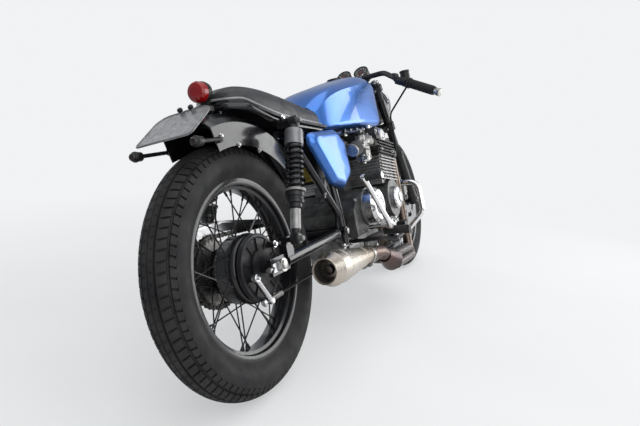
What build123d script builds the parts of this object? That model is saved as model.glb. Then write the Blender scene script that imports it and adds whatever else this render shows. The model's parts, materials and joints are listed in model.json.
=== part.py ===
from build123d import *
import math
import os

os.makedirs("parts", exist_ok=True)

# Driving sizes in millimetres and degrees. X forward from the rear axle, Y left, Z up.
WHEELBASE = 1405.0
RAKE = 26.0
TRAIL = 105.0
LEAN = 16.0
REAR_R = 333.0
REAR_W = 117.0
FRONT_R = 326.0
FRONT_W = 90.0
REAR_RIM_R = 226.0
FRONT_RIM_R = 241.0
RIM_HALF = 33.0
FRONT_RIM_HALF = 27.0
ARM_Y = 112.0
PIVOT_X = 430.0
PIVOT_Z = 340.0
CRADLE_Y = 110.0
CRADLE_Z = 190.0
RAIL_Y = 93.0
CHAIN_Y = 84.0
FRONT_SPROCKET = (512.0, 355.0, 43.0)
REAR_SPROCKET_R = 93.0
LINK = 15.875
CRANK_X = 805.0
CRANK_Z = 395.0
ENGINE_TILT = 8.0
FORK_Y = 92.0
FORK_N = 48.5
BAR_S = 1005.0
STAND_FOOT = (640.0, 262.0)

CROWN_REAR = REAR_W / 2
CROWN_FRONT = FRONT_W / 2
SR = math.sin(math.radians(RAKE))
CR = math.cos(math.radians(RAKE))
AXLE_S = TRAIL * SR + FRONT_R * CR


# The layout is drawn with the front axle at LAYOUT. Places ahead of the swingarm pivot move
# with the wheelbase, and what runs back from there stretches.
LAYOUT = 1405.0


def X(x):
    return x + (WHEELBASE - LAYOUT) * min(max((x - 340) / 90, 0), 1)


def at(p):
    x, y, z = p
    return Vector(X(x), y, z)


def place(x, y, z):
    return Pos(X(x), y, z)


def st(n, y, s):
    # point in the steering frame: n forward of the steering axis, s up it from the ground
    return Vector(LAYOUT + TRAIL + n * CR - s * SR, y, n * SR + s * CR)


def bar(p, q, r, r2=None):
    # round bar between two places, tapered if r2 is given
    d = q - p
    pl = Plane(origin=(p + q) * 0.5, z_dir=d)
    if r2 is None:
        return pl * Cylinder(r, d.length)
    return pl * Cone(r, r2, d.length)


def rod(p, q, r, r2=None):
    return bar(at(p), at(q), r, r2)


def ring(p, q, r_out, r_in):
    return rod(p, q, r_out) - rod(p, q, r_in)


def tube(points, radii, r):
    path = FilletPolyline(*[at(p) for p in points], radius=radii)
    start = Plane(origin=path @ 0, z_dir=path % 0)
    return sweep(start * Circle(r), path=path)


def plate(points, y0, y1):
    # flat plate drawn in XZ between two Y values
    f = make_face(Polyline(*[(X(x), 0, z) for x, z in points], close=True))
    return extrude(f.moved(Location((0, y1, 0))), amount=abs(y1 - y0), dir=(0, -1 if y1 > y0 else 1, 0))


def rev_x(points, p, q):
    # solid of revolution from p towards q, points are (distance along, radius)
    p, q = at(p), at(q)
    d = (q - p).normalized()
    side = Vector(0, 0, 1) if abs(d.Z) < 0.9 else Vector(1, 0, 0)
    xd = side.cross(d).normalized()
    pl = Plane(origin=p, x_dir=xd, z_dir=xd.cross(d).normalized() * -1)
    prof = [(0, points[0][0])] + [(r, a) for a, r in points] + [(0, points[-1][0])]
    face = make_face(Polyline(*[p + xd * r + d * a for r, a in prof], close=True))
    return revolve(face, axis=Axis(p, d), revolution_arc=360)


nodes = {}


# Wheels
def tyre(cx, cz, rad, width, rim_r, rim_half):
    c = width / 2
    k = rad - c
    pts = [(rim_r, rim_half - 0.1), (rim_r + 13, rim_half - 0.1), (rim_r + 13, rim_half + 6)]
    for a in (84, 50, LEAN):
        t = math.radians(a)
        pts.append((k + c * math.cos(t), c * math.sin(t)))
    half = pts + [(r, -y) for r, y in reversed(pts)]
    face = make_face(Polyline(*[(cx + r, y, cz) for r, y in half], close=True))
    return revolve(face, axis=Axis((cx, 0, cz), (0, 1, 0)), revolution_arc=360)


def laced_wheel(x, cz, rim_r, rim_half, hub_parts, flange_l, flange_r, bore):
    # rim section as a channel with two flanges
    t = 3.5
    cx = X(x)
    p = [(rim_r + 12, rim_half), (rim_r + 12, rim_half + t), (rim_r - 2, rim_half + t),
         (rim_r - 14, 14), (rim_r - 14, -14), (rim_r - 2, -rim_half - t),
         (rim_r + 12, -rim_half - t), (rim_r + 12, -rim_half), (rim_r, -rim_half), (rim_r, rim_half)]
    face = make_face(Polyline(*[(cx + r, y, cz) for r, y in p], close=True))
    w = revolve(face, axis=Axis((cx, 0, cz), (0, 1, 0)), revolution_arc=360)
    for y0, y1, r in hub_parts:
        w += rod((x, y0, cz), (x, y1, cz), r)
    spokes = []
    # columns: flange y, flange radius, rim y
    for fy, fr, ry in ((flange_l[0], flange_l[1], 8), (flange_r[0], flange_r[1], -8)):
        for i in range(18):
            sgn = 1 if i % 2 else -1
            a = math.radians(i * 20 + (10 if ry > 0 else 0))
            b = a + sgn * math.radians(34)
            p0 = (cx + (fr - 4) * math.cos(a), fy + sgn * 2.5, cz + (fr - 4) * math.sin(a))
            p1 = (cx + (rim_r - 6) * math.cos(b), ry, cz + (rim_r - 6) * math.sin(b))
            u, v = Vector(*p0), Vector(*p1)
            pl = Plane(origin=u, z_dir=v - u)
            spokes.append(extrude(pl * RegularPolygon(2.2, 6), amount=(v - u).length))
    w = w.fuse(*spokes)
    return w - rod((x, -200, cz), (x, 200, cz), bore)


nodes["rear_tyre"] = tyre(0, REAR_R, REAR_R, REAR_W, REAR_RIM_R, RIM_HALF)
nodes["rear_wheel"] = laced_wheel(0, REAR_R, REAR_RIM_R, RIM_HALF,
                                  [(-44, 20, 92), (20, 60, 62), (60, 78, 48)],
                                  (56, 60), (-30, 90), 9.1)
nodes["front_tyre"] = tyre(WHEELBASE, FRONT_R, FRONT_R, FRONT_W, FRONT_RIM_R, FRONT_RIM_HALF)
nodes["front_wheel"] = laced_wheel(LAYOUT, FRONT_R, FRONT_RIM_R, FRONT_RIM_HALF,
                                   [(-44, 50, 26), (-44, -36, 62), (30, 40, 50)],
                                   (34, 50), (-38, 60), 7.3)
sp = rod((0, CHAIN_Y - 3.5, REAR_R), (0, CHAIN_Y + 3.5, REAR_R), REAR_SPROCKET_R - 9)
sp -= rod((0, CHAIN_Y - 9, REAR_R), (0, CHAIN_Y + 9, REAR_R), 30)
teeth = []
for i in range(36):
    a = math.radians(i * 10)
    pl = Plane(origin=(0, CHAIN_Y, REAR_R), x_dir=(math.cos(a), 0, math.sin(a)), z_dir=(0, 1, 0))
    teeth.append(pl * (Pos(REAR_SPROCKET_R - 9, 0, 0) * Box(12, 6, 7)))
nodes["rear_sprocket"] = sp.fuse(*teeth) + ring((0, 78, REAR_R), (0, CHAIN_Y, REAR_R), 48, 30)
dy = -60
d = ring((LAYOUT, dy - 2.5, FRONT_R), (LAYOUT, dy + 2.5, FRONT_R), 134, 88)
d += ring((LAYOUT, dy - 2.5, FRONT_R), (LAYOUT, dy + 2.5, FRONT_R), 66, 30)
for i in range(6):
    a = math.radians(i * 60)
    pl = Plane(origin=(WHEELBASE, dy, FRONT_R), x_dir=(math.cos(a), 0, math.sin(a)), z_dir=(0, 1, 0))
    d += pl * (Pos(77, 0, 0) * Box(34, 22, 5))
d += ring((LAYOUT, dy, FRONT_R), (LAYOUT, -44, FRONT_R), 50, 30)
nodes["brake_disc"] = d

# Frame
HEAD_LO, HEAD_HI = 768.0, 915.0
head = rod(st(0, 0, HEAD_LO), st(0, 0, HEAD_HI), 27)
bb = rod(st(-12, 0, 880), (1020, 0, 742), 19) + rod((1020, 0, 742), (560, 0, 706), 19)
bb += place(1020, 0, 742) * Sphere(19)
down_top = st(-20, 0, 800)
bb += rod(down_top, (1022, 0, 290), 17)
gus = make_face(Polyline(*[at(p) for p in (st(-10, 0, 800), st(-10, 0, 880), (1030, 0, 735), (1085, 0, 600))], close=True))
bb += extrude(gus, amount=3, both=True)
bb += place(1022, 0, 290) * Sphere(17)
bb += rod((560, 0, 706), (550, 0, 664), 13)
bb += head
bb -= rod(st(0, 0, HEAD_LO - 5), st(0, 0, HEAD_HI + 5), 19)
nodes["frame_backbone"] = bb


def loop(sgn):
    y = sgn * CRADLE_Y
    t = tube([(1022, sgn * 14, 288), (1010, y, CRADLE_Z), (560, y, CRADLE_Z), (450, y, 250), (448, y, 400),
              (440, sgn * RAIL_Y, 669)], [40, 60, 45, 80], 14)
    # diagonal tube up to the shock mount, and the pivot plate
    t += rod((450, y, 385), (225, sgn * RAIL_Y, 684), 12)
    pl = [(408, 318), (470, 272), (562, 272), (562, 300), (474, 302), (472, 380), (425, 400), (408, 365)]
    t += plate(pl, sgn * (CRADLE_Y - 6), sgn * (CRADLE_Y + 1))
    if sgn < 0:
        t -= rod((545, -200, 284), (545, 0, 284), 7)
    return t - rod((PIVOT_X, -200, PIVOT_Z), (PIVOT_X, 200, PIVOT_Z), 9)


nodes["frame_left_loop"] = loop(1)
nodes["frame_right_loop"] = loop(-1)

# Seat rails run back from the backbone and turn up round the tail
rail_pts = [(548, -52, 664), (468, -RAIL_Y, 681), (260, -RAIL_Y, 699), (150, -RAIL_Y, 717.5)]
rail_pts += [(60, -84, 751), (16, -48, 757.5)]
right = tube(rail_pts + [(16, 0, 757.5)], [60, 60, 60, 45, 26], 10)
rails = right + mirror(right, about=Plane.XZ)
rails += rod((548, -56, 664), (548, 56, 664), 11)
rails += rod((262, -RAIL_Y, 697), (262, RAIL_Y, 697), 9)
for s in (-1, 1):
    rails += rod((178, s * RAIL_Y, 698), (178, s * 166, 698), 7)
    rails += rod((178, s * (RAIL_Y + 4), 698), (178, s * 132, 698), 13)
nodes["seat_rails"] = rails

# Swingarm with shock lugs, axle clamps and the pivot tube
arm = rod((PIVOT_X, -94, PIVOT_Z), (PIVOT_X, 94, PIVOT_Z), 21)
arm += rod((384, -ARM_Y, 339), (384, ARM_Y, 339), 18)
for s in (-1, 1):
    arm += rod((PIVOT_X, s * 58, PIVOT_Z), (384, s * 58, 339), 17)
    arm += rod((384, s * ARM_Y, 339), (45, s * ARM_Y, 334), 16)
    arm += place(384, s * ARM_Y, 339) * Sphere(18)
    arm += Pos(10, s * ARM_Y, REAR_R) * Box(90, 12, 44)
    arm += Pos(60, s * (ARM_Y + 6), 362) * Box(34, 14, 66)
    arm += rod((60, s * (ARM_Y + 6), 386), (60, s * 162, 386), 7)
arm -= rod((0, -200, REAR_R), (0, 200, REAR_R), 9)
arm += rod((PIVOT_X, -CRADLE_Y - 20, PIVOT_Z), (PIVOT_X, CRADLE_Y + 20, PIVOT_Z), 8.8)
for s in (-1, 1):
    pl = Plane(origin=at((PIVOT_X, s * (CRADLE_Y + 14.2), PIVOT_Z)), z_dir=(0, s, 0))
    arm += extrude(pl * RegularPolygon(15, 6), amount=9)
nodes["swingarm"] = arm
ax = rod((0, -138, REAR_R), (0, 138, REAR_R), 8.8)
for s in (-1, 1):
    pl = Plane(origin=(0, s * (ARM_Y + 6), REAR_R), z_dir=(0, s, 0))
    ax += extrude(pl * RegularPolygon(15, 6), amount=16)
    ax += rod((-36, s * (ARM_Y + 12), REAR_R), (-62, s * (ARM_Y + 12), REAR_R), 4)
    ax += Pos(-20, s * (ARM_Y + 12), REAR_R) * Box(40, 5, 22)
nodes["rear_axle"] = ax


# Shock absorbers, a turned body with grooves for the coils
def shock(sgn):
    lo, hi = Vector(60, sgn * 148, 386), Vector(178, sgn * 148, 698)
    L = (hi - lo).length
    # columns: distance up from the lower eye, radius
    prof = [(12, 9), (70, 9), (70, 22), (88, 22), (88, 27), (128, 27), (128, 30), (136, 30)]
    n = 7
    step = (L - 70 - 136) / n
    for i in range(n):
        a = 136 + i * step
        prof += [(a + step * 0.25, 29), (a + step * 0.75, 29), (a + step, 22)]
    prof += [(L - 70, 29), (L - 22, 29), (L - 14, 14)]
    s = rev_x(prof, lo, hi)
    for c in (lo, hi):
        s += rod((c.X, sgn * 136, c.Z), (c.X, sgn * 160, c.Z), 15)
        s -= rod((c.X, sgn * 130, c.Z), (c.X, sgn * 170, c.Z), 7.2)
    return s


nodes["shock_absorbers"] = shock(1) + shock(-1)


# Fuel tank, lofted through sections with a crisp brow between the side panel and the dome
def tank_section(x, half, z0, brow, crown, low_r, rake):
    # half the outline as (y, z), with arcs round the lower edge, over the shoulder and over the top
    w = half - 0.07 * (brow - z0)
    h = crown - brow
    k = math.sqrt(0.5)
    low = [(half - low_r, z0), (half - low_r + low_r * k, z0 + low_r - low_r * k), (half, z0 + low_r)]
    over = [(w, brow), (0.90 * w, brow + 0.50 * h), (0.66 * w, brow + 0.86 * h)]
    zc = (z0 + crown) / 2
    pl = Plane(origin=at((x, 0, zc)), x_dir=(0, 1, 0), z_dir=(math.cos(rake), 0, -math.sin(rake)))

    def flip(p):
        return (-p[0], p[1])

    arcs = [low, over, [over[2], (0, crown), flip(over[2])], [flip(p) for p in reversed(over)],
            [flip(p) for p in reversed(low)]]
    arcs = [[(y, z - zc) for y, z in arc] for arc in arcs]
    edges = [ThreePointArc(*arc) for arc in arcs]
    joins = [(arcs[0][2], arcs[1][0]), (arcs[3][2], arcs[4][0]), (arcs[4][2], arcs[0][0])]
    edges += [Line(p, q) for p, q in joins]
    return pl * make_face(Wire(edges))


# columns: x, half width, bottom z, brow z, crown z, lower radius, forward rake in radians
TANK = [
    (470, 80, 690, 738, 772, 12, 0),
    (520, 106, 684, 776, 811, 18, 0),
    (640, 127, 683, 818, 853, 24, 0),
    (820, 138, 683, 850, 892, 28, 0),
    (940, 139, 683, 862, 902, 28, 0.05),
    (1006, 130, 684, 848, 882, 28, 0.20),
    (1044, 95, 690, 796, 830, 20, 0.32),
]
tank = loft([tank_section(*row) for row in TANK])
tank -= plate([(525, 650), (525, 738), (1010, 775), (1100, 800), (1100, 650)], -31, 31)
tank -= rod(st(0, 0, 700), st(0, 0, 990), 66)
nodes["fuel_tank"] = tank
cap_p = Plane(origin=at((905, 0, 893)), z_dir=(-0.08, 0, 0.997))
cap = cap_p * (Cylinder(37, 28) + Pos(0, 0, 15) * Cylinder(31, 8) + Pos(-36, 0, 11) * Box(20, 20, 12))
nodes["filler_cap"] = cap
nodes["fuel_tank"] -= nodes["filler_cap"]

# Seat pad follows the rails: thin, with an upswept rounded tail
def seat_section(x, half, z0, z1, top_r, low_r):
    pl = Plane(origin=at((x, 0, (z0 + z1) / 2)), x_dir=(0, 1, 0), z_dir=(1, 0, 0))
    sk = Rectangle(2 * half, z1 - z0)
    sk = fillet(sk.vertices().group_by(Axis.Y)[-1], top_r)
    sk = fillet(sk.vertices().group_by(Axis.Y)[0], low_r)
    return pl * sk


# columns: x, half width, bottom z, top z, top radius, lower radius
SEAT = [
    (505, 97, 695, 760, 30, 5),
    (400, 104, 702, 767, 32, 5),
    (300, 108, 710, 785, 34, 5),
    (211, 105, 721, 801, 34, 5),
    (150, 101, 734, 809, 34, 5),
    (98, 93, 751, 812, 28, 5),
    (55, 78, 768, 811, 22, 5),
    (24, 52, 771, 803, 15, 5),
    (10, 24, 770, 790, 7, 4),
]
seat = loft([seat_section(*row) for row in SEAT], ruled=True) - tank
nodes["seat"] = seat
pan_top = [(x, low + 2) for x, half, low, top, r1, r2 in SEAT]
pan_low = [(x, z - 9) for x, z in reversed(pan_top)]
pan = plate(pan_top + pan_low, -122, 122)
plan = [(x, -half - 3) for x, half, low, top, r1, r2 in SEAT] + [(6, -10), (6, 10)]
plan += [(x, half + 3) for x, half, low, top, r1, r2 in reversed(SEAT)]
pan &= extrude(make_face(Polyline(*[(X(x), y, 650) for x, y in plan], close=True)), amount=250, dir=(0, 0, 1))
nodes["seat_pan"] = pan - tank - seat - rails

# Side covers
COVER = [(254, 666), (470, 674), (528, 630), (538, 515), (470, 478), (390, 500)]


def cover(sgn):
    c = plate(COVER, sgn * 124, sgn * 150)
    c = fillet(c.edges().filter_by(Axis.Y), 24)
    outer = c.faces().sort_by(Axis.Y)[0 if sgn < 0 else -1]
    c = fillet(outer.edges(), 17)
    # pegs that push into grommets on the frame tube
    for x, z in ((444, 530), (441, 640)):
        c += rod((x, sgn * 130, z), (x, sgn * 100, z), 6)
    return c


nodes["side_covers"] = cover(1) + cover(-1)
eb = place(450, 0, 580) * Box(120, 150, 140)
for s in (-1, 1):
    eb += place(494, s * 66, 655) * Box(24, 24, 28)
nodes["electrics_box"] = eb - rails

# Engine
case = [(476, 300), (520, 240), (600, 206), (860, 206), (905, 250), (908, 380), (886, 452), (640, 452), (524, 436), (476, 396)]
cc = plate(case, -64, 64)
upper = [(476, 308), (904, 308), (908, 380), (886, 452), (640, 452), (524, 436), (476, 396)]
cc += plate(upper, -150, 150)
cc += rod((CRANK_X, -192, CRANK_Z), (CRANK_X, 192, CRANK_Z), 72)
cc += rod((596, -160, 395), (596, 0, 395), 66)
cc += rod((905, 0, 300), (950, 0, 300), 34)
cc += place(680, 0, 470) * Box(80, 120, 40)
cc -= rod((512, 66, 355), (512, 160, 355), 64) + place(480, 113, 355) * Box(64, 94, 128)
fx, fz, fr = FRONT_SPROCKET
cc += rod((fx, CHAIN_Y - 4, fz), (fx, CHAIN_Y + 4, fz), fr - 0.5) + rod((fx, 60, fz), (fx, CHAIN_Y + 16, fz), 16)
nodes["crankcase"] = cc
tilt = Axis((X(CRANK_X), 0, CRANK_Z), (0, 1, 0))
cyl = place(CRANK_X, 0, 505) * Box(140, 352, 108)
for i in range(8):
    cyl += place(CRANK_X, 0, 468 + i * 12) * Box(166, 380, 4)
cyl = cyl.rotate(tilt, ENGINE_TILT)
hd = place(CRANK_X, 0, 597) * Box(150, 360, 76)
for i in range(5):
    hd += place(CRANK_X, 0, 568 + i * 12) * Box(172, 384, 4)
for y in (-160, -60, 60, 160):
    hd += rod((CRANK_X - 60, y, 600), (CRANK_X - 100, y, 606), 22)
    hd += rod((CRANK_X + 60, y, 590), (CRANK_X + 94, y, 580), 24)
hd = hd.rotate(tilt, ENGINE_TILT)
camc = place(CRANK_X, 0, 650) * Box(118, 340, 30) + place(CRANK_X, 0, 670) * Box(70, 330, 12)
nodes["cylinder_head"] = hd + camc.rotate(tilt, ENGINE_TILT)
nodes["cylinder_block"] = cyl - cc
rc = rev_x([(0, 62), (32, 62), (44, 52), (44, 22), (38, 18)], (596, -160, 395), (596, -210, 395))
rc += rev_x([(0, 44), (14, 44), (20, 38), (24, 20)], (CRANK_X, -192, CRANK_Z), (CRANK_X, -230, CRANK_Z))
nodes["right_engine_covers"] = rc
lc = rev_x([(0, 72), (28, 72), (38, 60)], (CRANK_X, 192, CRANK_Z), (CRANK_X, 232, CRANK_Z))
lc += plate([(460, 316), (640, 316), (700, 340), (700, 420), (600, 436), (460, 396)], 150, 178)
nodes["left_engine_covers"] = lc

# Carburettors and their filters
carb = rod((606, -185, 618), (606, 185, 618), 5)
filt = None
for y in (-160, -60, 60, 160):
    carb += rod((739, y, 619), (676, y, 625), 17) + rod((700, y, 628), (588, y, 604), 21)
    carb += place(640, y, 580) * Box(44, 42, 46)
    carb += rod((640, y, 600), (640, y, 652), 17)
    f = rod((589, y, 604.2), (545, y, 595), 26, 22)
    filt = f if filt is None else filt + f
nodes["carburettors"] = carb
nodes["air_filters"] = filt

# Exhaust: four pipes to a collector on the right
# columns: y at the head, then the points of the lower run
PIPES = [
    (160, [(956, 160, 150), (846, -95, 148), (806, -152, 150), (700, -154, 156)]),
    (60, [(956, 58, 150), (884, -95, 148), (849, -152, 168), (700, -154, 194)]),
    (-60, [(956, -60, 150), (925, -95, 148), (884, -188, 182), (700, -186, 194)]),
    (-160, [(956, -166, 152), (900, -188, 150), (820, -188, 152), (700, -186, 156)]),
]
pipes = []
for y, low in PIPES:
    # the first run leaves the port square to its face
    out = [Vertex(CRANK_X + dx, y, z).rotate(Axis((CRANK_X, 0, CRANK_Z), (0, 1, 0)), ENGINE_TILT).center()
           for dx, z in ((94.2, 580), (128.2, 570))]
    pts = [(p.X, p.Y, p.Z) for p in out] + low
    pipes.append(tube(pts, [38, 40, 30, 24, 24][:len(pts) - 2], 18))
ex = pipes[0].fuse(*pipes[1:])
ex += rod((705, -170, 175), (640, -168, 205), 43, 26)
ex += tube([(660, -169, 196), (620, -166, 222), (560, -161, 234), (520, -160, 238)], [40, 40], 24)
nodes["exhaust_headers"] = ex
m0, m1 = Vector(522, -160, 238), Vector(170, -156, 268)
ML = (at(m1) - at(m0)).length
muf = rev_x([(0, 27), (30, 27), (90, 33), (ML - 90, 50), (ML - 40, 50), (ML, 38)], m0, m1)
muf -= rod(m1 + (m0 - m1).normalized() * 150, m1 + (m1 - m0).normalized() * 5, 34)
nodes["muffler"] = muf - rod((560, -161, 234), (500, -159.5, 240), 24.5)

# Kick starter, pegs, pedal and lever
ks = rod((594, -150.2, 319), (594, -236, 319), 8) + rod((594, -228, 319), (424, -228, 500), 8)
ks += rod((594, -217, 319), (594, -238, 319), 13)
ks += rod((424, -220, 500), (424, -290, 500), 10)
nodes["kick_starter"] = ks


def peg(sgn):
    p = tube([(616, sgn * CRADLE_Y, 204), (616, sgn * 118, 274), (616, sgn * 196, 296)], [22], 9)
    p += rod((616, sgn * 190, 300), (616, sgn * 288, 292), 13)
    return p


nodes["footpegs"] = peg(1) + peg(-1)
bp = tube([(545, -68, 284), (545, -204, 284), (600, -240, 268), (690, -238, 270), (744, -224, 292)], [16, 30, 30], 6.5)
bp += place(750, -222, 299) * Box(44, 34, 9)
bp += rod((545, -70, 284), (520, -70, 250), 6) + rod((520, -66, 250), (520, -80, 250), 8)
nodes["brake_pedal"] = bp
gl = tube([(560, 178.2, 334), (560, 232, 334), (650, 244, 322), (736, 244, 316)], [16, 40], 6)
gl += rod((733, 235, 316.5), (733, 294, 316.5), 9)
nodes["gear_lever"] = gl

# Engine guard, one tube that passes behind the downtube
guard = tube([(1004, -CRADLE_Y - 12, 200), (1012, -238, 300), (1014, -236, 428), (1018, 0, 450)], [38, 38], 11)
guard = guard + mirror(guard, about=Plane.XZ)
guard += place(1036, 0, 450) * Box(34, 46, 34)
nodes["engine_guard"] = guard - bb

# Rear brake panel, fixed to the swingarm by its stay
pan_b = rod((0, -50, REAR_R), (0, -62, REAR_R), 88) + rod((0, -60, REAR_R), (0, -102, REAR_R), 17)
pan_b += rod((0, -60, REAR_R), (0, -70, REAR_R), 46)
pan_b += rod((-62, -60, 318), (-62, -86, 318), 9)
pan_b += rod((-62, -80, 318), (-14, -80, 246), 6)
pan_b += rod((-14, -72, 246), (-14, -90, 246), 8)
pan_b += rod((60, -58, 380), (60, -82, 380), 8) + rod((60, -76, 380), (190, -76, 366), 7)
pan_b += rod((190, -70, 366), (190, -ARM_Y + 3, 352), 7)
pan_b -= rod((0, -200, REAR_R), (0, 0, REAR_R), 9)
nodes["brake_panel"] = pan_b
nodes["brake_pedal"] += rod((-14, -72, 246), (520, -72, 250), 3.5)

# Drive chain: two rows of plates with the rollers as bumps between them
def chain_path():
    # even steps along the loop round both sprockets, as (x, z, outward x, outward z)
    rr, rf = REAR_SPROCKET_R + 2.5, fr + 4
    dx, dz = X(fx), fz - REAR_R
    D = math.hypot(dx, dz)
    base = math.atan2(dz, dx)
    k = math.acos((rr - rf) / D)
    run = D * math.sin(k)
    arc_r, arc_f = rr * (2 * math.pi - 2 * k), rf * 2 * k
    total = arc_r + arc_f + 2 * run
    count = round(total / LINK)
    steps = []
    for i in range(2 * count):
        u = total * i / (2 * count)
        if u < arc_r:
            a = base + k + u / rr
            steps.append((rr * math.cos(a), REAR_R + rr * math.sin(a), a))
            continue
        u -= arc_r
        low = base - k
        if u < run:
            x, z = rr * math.cos(low) - u * math.sin(low), REAR_R + rr * math.sin(low) + u * math.cos(low)
            steps.append((x, z, low))
            continue
        u -= run
        if u < arc_f:
            a = low + u / rf
            steps.append((dx + rf * math.cos(a), fz + rf * math.sin(a), a))
            continue
        u -= arc_f
        high = base + k
        x, z = dx + rf * math.cos(high) - u * math.sin(high), fz + rf * math.sin(high) + u * math.cos(high)
        steps.append((x, z, high))
    return steps


def chain_row(steps, y0, y1, heights):
    # band along the steps whose half height runs through the given ones in turn
    out, inn = [], []
    for i, (x, z, a) in enumerate(steps):
        h = heights[i % len(heights)]
        out.append((x + h * math.cos(a), 0, z + h * math.sin(a)))
        inn.append((x - h * math.cos(a), 0, z - h * math.sin(a)))
    band = make_face(Polyline(*out, close=True)) - make_face(Polyline(*inn, close=True))
    return extrude(band.moved(Location((0, y1, 0))), amount=y1 - y0, dir=(0, -1, 0))


steps = chain_path()
chain = chain_row(steps, CHAIN_Y - 6.5, CHAIN_Y + 6.5, [4.2, 1.6])
for y in (CHAIN_Y - 7.5, CHAIN_Y + 7.5):
    chain += chain_row(steps[::2], y - 1.5, y + 1.5, [7.2])
nodes["drive_chain"] = chain
cg_top = [(-85, 446), (-55, 462), (60, 466), (300, 430), (300, 424), (60, 459), (-52, 455), (-80, 440)]
cg = plate(cg_top, CHAIN_Y - 12, CHAIN_Y + 16)
cg_side = [(-85, 446), (-55, 462), (60, 466), (300, 430), (300, 408), (60, 436), (-40, 436), (-76, 426)]
cg += plate(cg_side, CHAIN_Y + 13, CHAIN_Y + 16)
for x in (40, 250):
    cg += rod((x, CHAIN_Y + 16, 338), (x, CHAIN_Y + 16, 440 - 0.06 * x), 4)
nodes["chain_guard"] = cg

# Rear mudguard, a shell turned about the axle
t = 3.0
G = REAR_R + 66
PLATE = Plane(origin=(-66, 0, 757), x_dir=(0, 1, 0), z_dir=(-math.sin(math.radians(33)), 0, math.cos(math.radians(33))))
o = [(G - 81, -75), (G - 21, -75), (G - 6, -62), (G + 8, -38), (G + 13, -18), (G + 14, 0)]
o = o + [(r, -y) for r, y in reversed(o[:-1])]
i_ = [(G - 81, -72), (G - 22, -72), (G - 9, -60), (G + 5, -37), (G + 10, -18), (G + 11, 0)]
i_ = i_ + [(r, -y) for r, y in reversed(i_[:-1])]
face = make_face(Polyline(*[(r, y, REAR_R) for r, y in o + list(reversed(i_))], close=True))
mg = revolve(face, axis=Axis((0, 0, REAR_R), (0, 1, 0)), revolution_arc=75)
mg = mg.rotate(Axis((0, 0, REAR_R), (0, 1, 0)), -106)
mg -= PLATE * (Pos(0, 60, 12) * Box(240, 200, 44))
for y in (-26, 26):
    mg += rod((16, y, 738), (16, y, 752), 7)
    mg += rod((236, y, 653), (260, y, 688), 6)
mg -= rails
nodes["rear_mudguard"] = mg

# Tail light, plate and rear indicators
tl = rev_x([(0, 22), (6, 26.5), (17, 27)], (8, 0, 803), (-40, 0, 803))
tl += Pos(-2, 0, 768) * Box(13, 24, 30)
nodes["tail_light"] = tl
nodes["tail_light_lens"] = rev_x([(0, 27), (20, 27), (27, 23), (31, 12)], (-9.3, 0, 803), (-70, 0, 803))
pp = PLATE * (Pos(12, 69, 0) * Box(174, 136, 2.4))
corners = pp.edges().filter_by(lambda e: abs(e.length - 2.4) < 0.01).sort_by(Axis.Z)
pp = fillet(corners[2:], 40)
corners = pp.edges().filter_by(lambda e: abs(e.length - 2.4) < 0.01).sort_by(Axis.Z)
pp = fillet(corners[:2], 14)
for y in (-10, 24):
    pp += PLATE * (Pos(y, 8, 3.5) * Cylinder(5, 7))
nodes["number_plate"] = pp
br = PLATE * (Pos(0, 34, -3.5) * Box(60, 90, 4))
br += Pos(-24.5, 0, 752) * Box(83, 22, 8) + Pos(-30, -10, 754.5) * Box(34, 42, 13)
nodes["tail_light"] = nodes["tail_light"] + br - rails - nodes["seat_pan"] - seat - pp
ind = []
for s in (-1, 1):
    q = rev_x([(0, 6), (6, 11), (26, 12.5), (31, 9)], (-166, s * 92, 663), (-200, s * 92, 663))
    q += rod((-172, s * 90, 663), (-84, s * 81, 667), 5) + rod((-84, s * 75, 667), (-84, s * 84, 667), 8)
    ind.append(q)
nodes["rear_indicators"] = ind[0] + ind[1] - mg


# Steering: clamps, fork legs, bars and lamp
def clamp(s0, s1, r):
    c = rod(st(0, 0, s0), st(0, 0, s1), 30)
    for y in (-FORK_Y, FORK_Y):
        c += rod(st(FORK_N, y, s0), st(FORK_N, y, s1), r)
    pl = Plane(origin=at(st(0, 0, (s0 + s1) / 2)), x_dir=(CR, 0, SR), z_dir=(-SR, 0, CR))
    web = make_face(Polyline((-24, -22), (30, -FORK_Y - 12), (FORK_N + 14, -FORK_Y), (FORK_N + 8, 0),
                             (FORK_N + 14, FORK_Y), (30, FORK_Y + 12), (-24, 22), close=True))
    return c + extrude(pl * web, amount=(s1 - s0) / 2 - 3, both=True)


tc = clamp(728, 762, 27) + clamp(922, 948, 27) + rod(st(0, 0, 740), st(0, 0, 958), 18.7)
for y in (-FORK_Y, FORK_Y):
    tc -= rod(st(FORK_N, y, 700), st(FORK_N, y, 1000), 17.7)
for y in (-45, 45):
    tc += rod(st(24, y, 940), st(24, y, BAR_S + 11), 17)
nodes["triple_clamps"] = tc
legs = []
for y in (-FORK_Y, FORK_Y):
    g = rod(st(FORK_N, y, 560), st(FORK_N, y, 956), 17.5) + rod(st(FORK_N, y, AXLE_S - 18), st(FORK_N, y, 600), 24)
    g += rod(st(FORK_N, y, 596), st(FORK_N, y, 612), 27) + rod(st(FORK_N, y, 956), st(FORK_N, y, 964), 20)
    legs.append(g)
fl = legs[0] + legs[1] + rod((LAYOUT, -112, FRONT_R), (LAYOUT, 112, FRONT_R), 7)
nodes["fork_legs"] = fl
C0 = st(24, 0, BAR_S)
bar_r = [(C0.X, 0, C0.Z), (C0.X, -155, C0.Z), (1000, -243, 852), (934, -388, 768)]
hb = tube(bar_r, [45, 60], 11.1)
hb = hb + mirror(hb, about=Plane.XZ)
for y in (-45, 45):
    nodes["triple_clamps"] -= rod((C0.X, y - 25, C0.Z), (C0.X, y + 25, C0.Z), 11.2)
nodes["handlebar"] = hb
gd = (Vector(*bar_r[3]) - Vector(*bar_r[2])).normalized()
gp = Vector(*bar_r[3])
grips = []
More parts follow.
